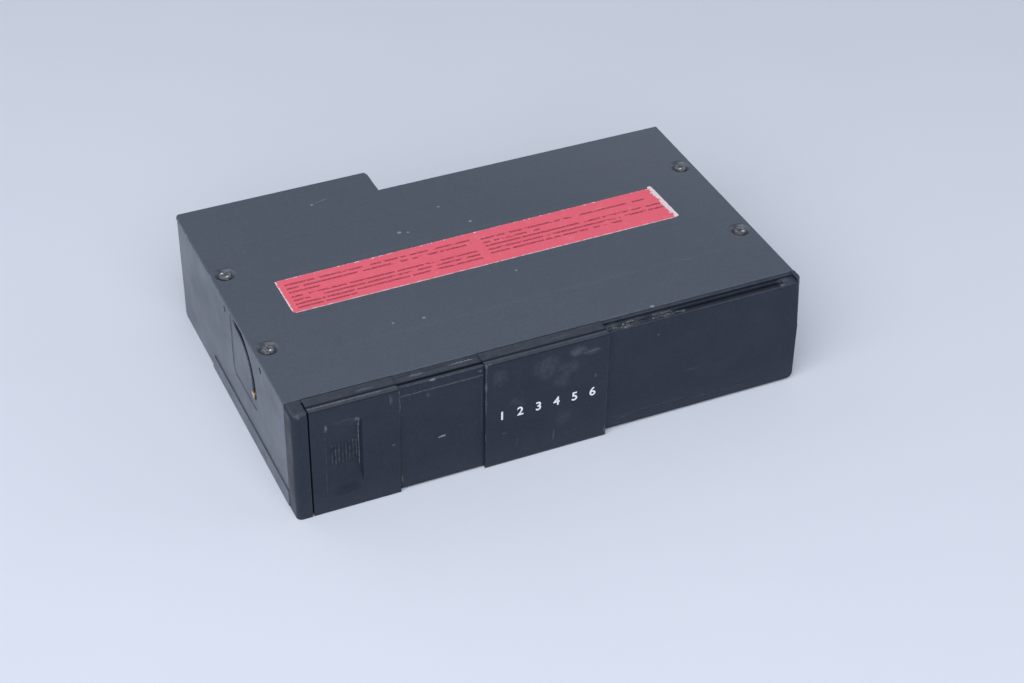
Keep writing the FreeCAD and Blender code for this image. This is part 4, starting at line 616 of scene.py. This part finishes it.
def moulded(name, colour, rough=0.45, light=1.5):
    """Moulded plastic with a fine grain, slight marbling and rubbed edges."""
    finish = Finish(name)
    pale = tuple(min(1.0, c * light + 0.01) for c in colour)
    shade = grime(finish, colour, pale, 0.4)
    rubbed = finish.math("MULTIPLY", finish.edge_mask(0.0004), 0.35)
    shade = finish.blend(rubbed, shade, pale)
    grain = finish.noise(1100.0, 2.0, 0.6)
    gloss = finish.step(finish.noise(90.0, 3.0, 0.6, seed=1.3), 0.3, 0.7, rough - 0.07, rough + 0.08)
    return finish.done(shade, gloss, 0.0, finish.bump(grain, 0.00003, finish.round_edges(0.0003)))


def rubber():
    """Black rubber with a faint bloom."""
    finish = Finish("damper_rubber")
    bloom = finish.step(finish.noise(300.0, 4.0, 0.7), 0.4, 0.8)
    colour = finish.blend(bloom, (0.018, 0.018, 0.018), (0.05, 0.05, 0.052))
    return finish.done(colour, 0.78, 0.0, finish.bump(finish.noise(2000.0, 2.0, 0.6), 0.00004))


DISC_CENTRE = at(83.0, 62.0, 0.0)
# Radii between which the aluminium begins and ends, in metres
METAL_START = (0.0215, 0.022)
METAL_END = (0.0588, 0.0584)
RINGS_PER_METRE = 2600.0


def disc_face():
    """Clear disc over aluminium: rings of fine tracks about the disc's middle."""
    finish = Finish("disc_face")
    offset = finish.vector("SUBTRACT", finish.place, tuple(DISC_CENTRE))
    flat = finish.vector("MULTIPLY", offset, (1.0, 1.0, 0.0))
    radius = finish.vector("LENGTH", flat, (0, 0, 0))
    metal = finish.math("MULTIPLY", finish.step(radius, *METAL_START), finish.step(radius, *METAL_END))
    rings = finish.math("FRACT", finish.math("MULTIPLY", radius, RINGS_PER_METRE))
    colour = finish.blend(metal, (0.62, 0.64, 0.66), (0.80, 0.81, 0.84))
    rough = finish.step(rings, 0.0, 1.0, 0.12, 0.22)
    return finish.done(colour, rough, metal, finish.bump(rings, 0.000004), coat=0.6)


def lens_glass():
    """Coated clear lens."""
    finish = Finish("lens_glass")
    tint = finish.blend(finish.noise(400.0, 2.0), (0.30, 0.40, 0.75), (0.45, 0.35, 0.70))
    finish.shader.inputs["Transmission Weight"].default_value = 0.6
    return finish.done(tint, 0.06, 0.0, coat=1.0)


def board_resin():
    """Green board with paler tracks."""
    finish = Finish("board_resin")
    tracks = finish.tree.nodes.new("ShaderNodeTexBrick")
    finish.feed(tracks.inputs["Vector"], finish.place)
    tracks.inputs["Scale"].default_value = 260.0
    tracks.inputs["Mortar Size"].default_value = 0.06
    finish.feed(tracks.inputs["Color1"], (0.020, 0.110, 0.045))
    finish.feed(tracks.inputs["Color2"], (0.026, 0.135, 0.055))
    finish.feed(tracks.inputs["Mortar"], (0.10, 0.26, 0.10))
    return finish.done(tracks.outputs[0], 0.3, 0.0, finish.bump(tracks.outputs[1], 0.00003), coat=0.3)


def brass():
    """Turned brass with clouded tarnish."""
    finish = Finish("brass_stud")
    tarnish = finish.step(finish.noise(700.0, 4.0, 0.7), 0.35, 0.7)
    colour = finish.blend(tarnish, (0.80, 0.56, 0.33), (0.45, 0.30, 0.17))
    rough = finish.step(tarnish, 0.0, 1.0, 0.22, 0.4)
    return finish.done(colour, rough, 1.0, finish.bump(tarnish, 0.00002))


def finishes():
    """One finish for each material slot of the record that keeps its CAD solids."""
    return {
        "case_paint": case_paint(), "black_screw": black_screw(),
        "front_plastic": front_plastic("front_plastic"),
        "zinc_steel": plated("zinc_steel", (0.60, 0.61, 0.60)),
        "bright_steel": plated("bright_steel", (0.72, 0.73, 0.75), (1.0, 1.0, 1.0), 0.2),
        "spring_wire": plated("spring_wire", (0.55, 0.55, 0.56), (1.0, 1.0, 1.0), 0.3),
        "motor_steel": plated("motor_steel", (0.56, 0.56, 0.58), (1.0, 1.0, 1.0), 0.3),
        "frame_black": moulded("frame_black", (0.012, 0.012, 0.014), 0.5),
        "brass_stud": brass(), "damper_rubber": rubber(),
        "magazine_plastic": moulded("magazine_plastic", (0.055, 0.055, 0.062)),
        "tray_plastic": moulded("tray_plastic", (0.26, 0.27, 0.29), 0.4, light=1.2),
        "gear_plastic": moulded("gear_plastic", (0.72, 0.71, 0.66), 0.35, light=1.08),
        "pickup_body": moulded("pickup_body", (0.03, 0.03, 0.033), 0.5),
        "component_black": moulded("component_black", (0.03, 0.03, 0.03), 0.4),
        "disc_face": disc_face(), "lens_glass": lens_glass(), "board_resin": board_resin(),
    }


def marked_plastics():
    """The three front mouldings' own marked finishes, by node."""
    return {
        "door_panel": front_plastic(
            "door_plastic", DOOR_SPOTS, DOOR_SCRATCHES_AND_HIGHLIGHTS + rib_scratches(), dirt_and_shade=DOOR_SHADE_AND_DIRT, seams_and_groove_shade=DOOR_GROOVE_SHADE),
        "centre_panel": front_plastic(
            "centre_plastic", CENTRE_SPOTS, CENTRE_SCRATCHES_AND_HIGHLIGHTS, dirt_and_shade=CENTRE_DIRT, seams_and_groove_shade=CENTRE_GROOVE_SHADE,
            smudges=CENTRE_SMUDGES),
        "front_bezel": front_plastic(
            "bezel_plastic", BEZEL_SPOTS_AND_LIGHT, BEZEL_SCRATCHES_AND_HIGHLIGHTS, seams_and_groove_shade=BEZEL_GROOVE_SHADE, flecks=BEZEL_FLECKS),
    }


def dress(materials, own):
    """Give every CAD node its own finish, or that of its material slot."""
    for entry in frame["record"]["subparts"]:
        node, group = entry["node"], entry["material_slot"]
        if node in own or group in materials:
            for slot in NODES[node].material_slots:
                slot.material = own.get(node) or materials[group]


# ---------------------------------------------------------------- pieces

def link_mesh(name, builder, material, body):
    """Piece of a body, made from a bmesh builder."""
    mesh = bpy.data.meshes.new(name)
    builder.to_mesh(mesh)
    builder.free()
    piece = bpy.data.objects.new(name, mesh)
    bpy.context.scene.collection.objects.link(piece)
    mesh.materials.append(material)
    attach(piece, body)
    return piece


# Label corners and torn tab in the case's frame, x and y in millimetres
LABEL_REAR_LEFT = (26.3, 87.2)
LABEL_FRONT_LEFT = (26.3, 60.4)
LABEL_FRONT_RIGHT = (226.6, 62.1)
LABEL_REAR_RIGHT = (225.4, 90.4)
LABEL_TAB = (224.8, 93.4)
LABEL_THICKNESS = 0.12
COVER_TOP_Z = 59.2
# White borders: the edge's two ends, greatest width in millimetres, range of the noise that wears it
LABEL_BORDERS = (
    (LABEL_FRONT_LEFT, LABEL_FRONT_RIGHT, 0.5, 0.32, 0.72),
    (LABEL_FRONT_RIGHT, LABEL_REAR_RIGHT, 3.4, 0.20, 0.72),
    (LABEL_REAR_RIGHT, LABEL_REAR_LEFT, 1.5, 0.50, 0.75),
    (LABEL_REAR_LEFT, LABEL_FRONT_LEFT, 0.9, 0.22, 0.76))
# Rows of print: the column's two ends in x, and the y of each row
LABEL_ROWS = (
    ((29.6, 124.0), (82.5, 79.3, 72.5, 69.5, 66.4)), ((128.7, 224.0), (81.8, 75.5, 72.2)),
    ((29.6, 45.0), (76.2,)), ((29.6, 59.0), (63.6,)), ((128.7, 159.0), (78.5,)), ((128.7, 199.0), (69.1,)))
# Half height of a row and blur of its edges in millimetres, and tilt in degrees
ROW_HALF_HEIGHT = 0.62
ROW_BLUR = 0.12
ROW_TILT = 0.45


def label_outline():
    """Closed outline of the sticker, with slightly uneven cut edges and one torn corner."""
    shake = random.Random(11)
    front_left, front_right = LABEL_FRONT_LEFT, LABEL_FRONT_RIGHT
    rear_left, rear_right = LABEL_REAR_LEFT, LABEL_REAR_RIGHT
    line = []

    def run(a, b, count, jitter):
        for index in range(count):
            share = index / count
            x = a[0] + (b[0] - a[0]) * share
            y = a[1] + (b[1] - a[1]) * share
            line.append((x + shake.uniform(-jitter, jitter), y + shake.uniform(-jitter, jitter)))

    run((front_left[0] + 1.6, front_left[1]), (front_right[0] - 0.6, front_right[1]), 150, 0.05)
    run((front_right[0], front_right[1] + 0.6), (rear_right[0] + 0.3, rear_right[1]), 30, 0.16)
    line.append((LABEL_TAB[0] + 0.5, LABEL_TAB[1] - 0.6))
    line.append(LABEL_TAB)
    line.append((LABEL_TAB[0] - 0.9, LABEL_TAB[1] - 1.2))
    run((rear_right[0] - 2.2, rear_right[1] - 0.2), (rear_left[0] + 0.3, rear_left[1]), 150, 0.05)
    run((rear_left[0], rear_left[1] - 0.3), (front_left[0], front_left[1] + 1.6), 24, 0.06)
    line.append((front_left[0] + 0.5, front_left[1] + 0.5))
    return line


def edge_distance(finish, a, b):
    """Distance inward from the label's edge that runs from a to b."""
    start, end = at(*a, 0), at(*b, 0)
    along = (end - start).normalized()
    inward = Vector((-along.y, along.x, 0))
    reach = finish.vector("DOT_PRODUCT", finish.place, tuple(inward))
    return finish.math("SUBTRACT", reach, start.dot(inward))


def label_film():
    """Red film, rubbed white at its borders, with broken rows of plain dashes in two columns."""
    finish = Finish("label_film")
    x, y = finish.axis("X"), finish.axis("Y")
    red = finish.blend(finish.noise(35.0, 4.0, 0.6), (0.84, 0.135, 0.190), (0.76, 0.115, 0.165))
    dust = finish.step(finish.noise(260.0, 4.0, 0.7, seed=2.0), 0.52, 0.80)
    red = finish.blend(finish.math("MULTIPLY", dust, 0.16), red, (0.80, 0.50, 0.52))

    ragged = finish.noise(420.0, 4.0, 0.75, seed=9.0)
    worn = []
    for a, b, width, low, high in LABEL_BORDERS:
        reach = finish.math("MULTIPLY", finish.step(ragged, low, high), width * MM)
        inside = finish.math("SUBTRACT", edge_distance(finish, a, b), reach)
        worn.append(finish.step(inside, 0.0002, -0.0002))
    nicks = finish.step(finish.noise(230.0, 3.0, 0.6, seed=12.0), 0.75, 0.77)
    edge = finish.most(worn + [nicks])
    rows = [row_mask(finish, x, y, column, heights) for column, heights in LABEL_ROWS]
    gaps = finish.step(finish.noise(330.0, 1.0, 0.4, seed=15.0), 0.38, 0.42)
    broken = finish.step(finish.noise(1500.0, 2.0, 0.7, seed=6.6), 0.40, 0.56, 0.25, 0.95)
    ink = finish.math("MULTIPLY", finish.math("MULTIPLY", finish.most(rows), gaps), broken)
    colour = finish.blend(ink, red, (0.20, 0.022, 0.045))
    colour = finish.blend(finish.math("MULTIPLY", edge, 0.92), colour, (0.78, 0.72, 0.74))
    rough = finish.step(edge, 0.0, 1.0, 0.38, 0.65)
    return finish.done(colour, rough, 0.0, finish.bump(edge, 0.00004))


def row_mask(finish, x, y, column, heights):
    """Rows of print in a column, which climb a little with the sheet."""
    low, high = at(column[0], 0, 0).x, at(column[1], 0, 0).x
    inside = finish.math("MULTIPLY", finish.step(x, low, low + 0.0002), finish.step(x, high, high - 0.0002))
    climb = finish.math("MULTIPLY", finish.math("SUBTRACT", x, low), math.tan(math.radians(ROW_TILT)))
    outer, inner = (ROW_HALF_HEIGHT + ROW_BLUR) * MM, (ROW_HALF_HEIGHT - ROW_BLUR) * MM
    lines = []
    for height in heights:
        middle = finish.math("ADD", climb, at(0, height, 0).y)
        away = finish.math("ABSOLUTE", finish.math("SUBTRACT", y, middle))
        lines.append(finish.step(away, outer, inner))
    return finish.math("MULTIPLY", finish.most(lines), inside)


def add_label():
    """Sticker on the cover, a thin sheet with uneven edges."""
    builder = bmesh.new()
    low = [builder.verts.new(at(x, y, COVER_TOP_Z)) for x, y in label_outline()]
    high = [builder.verts.new(v.co + Vector((0, 0, LABEL_THICKNESS * MM))) for v in low]
    builder.faces.new(high)
    builder.faces.new(list(reversed(low)))
    for index in range(len(low)):
        following = (index + 1) % len(low)
        builder.faces.new((low[index], low[following], high[following], high[index]))
    piece = link_mesh("label_sheet", builder, label_film(), "chassis")
    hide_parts("cover_label")


def print_ink():
    """White ink, worn through in fine spots."""
    finish = Finish("print_ink")
    worn = finish.step(finish.noise(1300.0, 3.0, 0.7), 0.30, 0.45, 0.55, 1.0)
    colour = finish.blend(worn, (0.30, 0.32, 0.35), (0.72, 0.75, 0.80))
    return finish.done(colour, 0.5, 0.0, finish.bump(worn, 0.00001))


# Size, relief and weight in metres, as fonts take them; places in the case's millimetres
NUMERAL_COUNT = 6
NUMERAL_SIZE = 0.0066
INK_THICKNESS = 0.00002
STROKE_SPREAD = 0.00012
FIRST_NUMERAL_X = 99.5
NUMERAL_PITCH = 9.1
NUMERAL_Z = 26.2


def numeral_mesh(name, text):
    """Flat mesh of a numeral, lying in its own plane."""
    curve = bpy.data.curves.new(name, "FONT")
    curve.body = text
    curve.size = NUMERAL_SIZE
    curve.extrude = INK_THICKNESS
    curve.offset = STROKE_SPREAD
    curve.align_x = "CENTER"
    item = bpy.data.objects.new(name, curve)
    bpy.context.scene.collection.objects.link(item)
    bpy.context.view_layer.update()
    mesh = bpy.data.meshes.new_from_object(item.evaluated_get(bpy.context.evaluated_depsgraph_get()))
    bpy.data.objects.remove(item)
    return mesh


def add_numerals():
    """Plain disc numbers printed on the middle panel."""
    ink = print_ink()
    for index in range(NUMERAL_COUNT):
        name = "numeral_%d" % (index + 1)
        mesh = numeral_mesh(name, str(index + 1))
        place = at(FIRST_NUMERAL_X + index * NUMERAL_PITCH, FRONT_Y / MM, NUMERAL_Z)
        mesh.transform(Matrix.Translation(place) @ Matrix.Rotation(math.radians(90), 4, "X"))
        mesh.materials.clear()
        mesh.materials.append(ink)
        piece = bpy.data.objects.new(name, mesh)
        bpy.context.scene.collection.objects.link(piece)
        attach(piece, "centre_cover")


FLOOR_COLOURS = ((0.675, 0.712, 0.80), (0.705, 0.742, 0.83))
FLOOR_HALF_SIZE = 3.0
FLOOR_Z = -0.0002


def floor_finish():
    """Pale paper, barely mottled."""
    finish = Finish("floor_finish")
    mottled = finish.blend(finish.noise(9.0, 4.0, 0.6), *FLOOR_COLOURS)
    fibres = finish.noise(900.0, 2.0, 0.6)
    return finish.done(mottled, 0.6, 0.0, finish.bump(fibres, 0.00004), specular=0.25)


def add_floor():
    """Plain floor just under the object's feet."""
    builder = bmesh.new()
    bmesh.ops.create_grid(builder, x_segments=8, y_segments=8, size=FLOOR_HALF_SIZE)
    mesh = bpy.data.meshes.new("floor")
    builder.to_mesh(mesh)
    builder.free()
    floor = bpy.data.objects.new("floor", mesh)
    floor.location = (0, 0, FLOOR_Z)
    bpy.context.scene.collection.objects.link(floor)
    mesh.materials.append(floor_finish())


def main():
    bpy.context.scene.view_settings.view_transform = "Standard"
    add_camera()
    add_world()
    for light in LIGHTS:
        add_light(*light)
    add_floor()
    dress(finishes(), marked_plastics())
    add_label()
    add_numerals()


main()
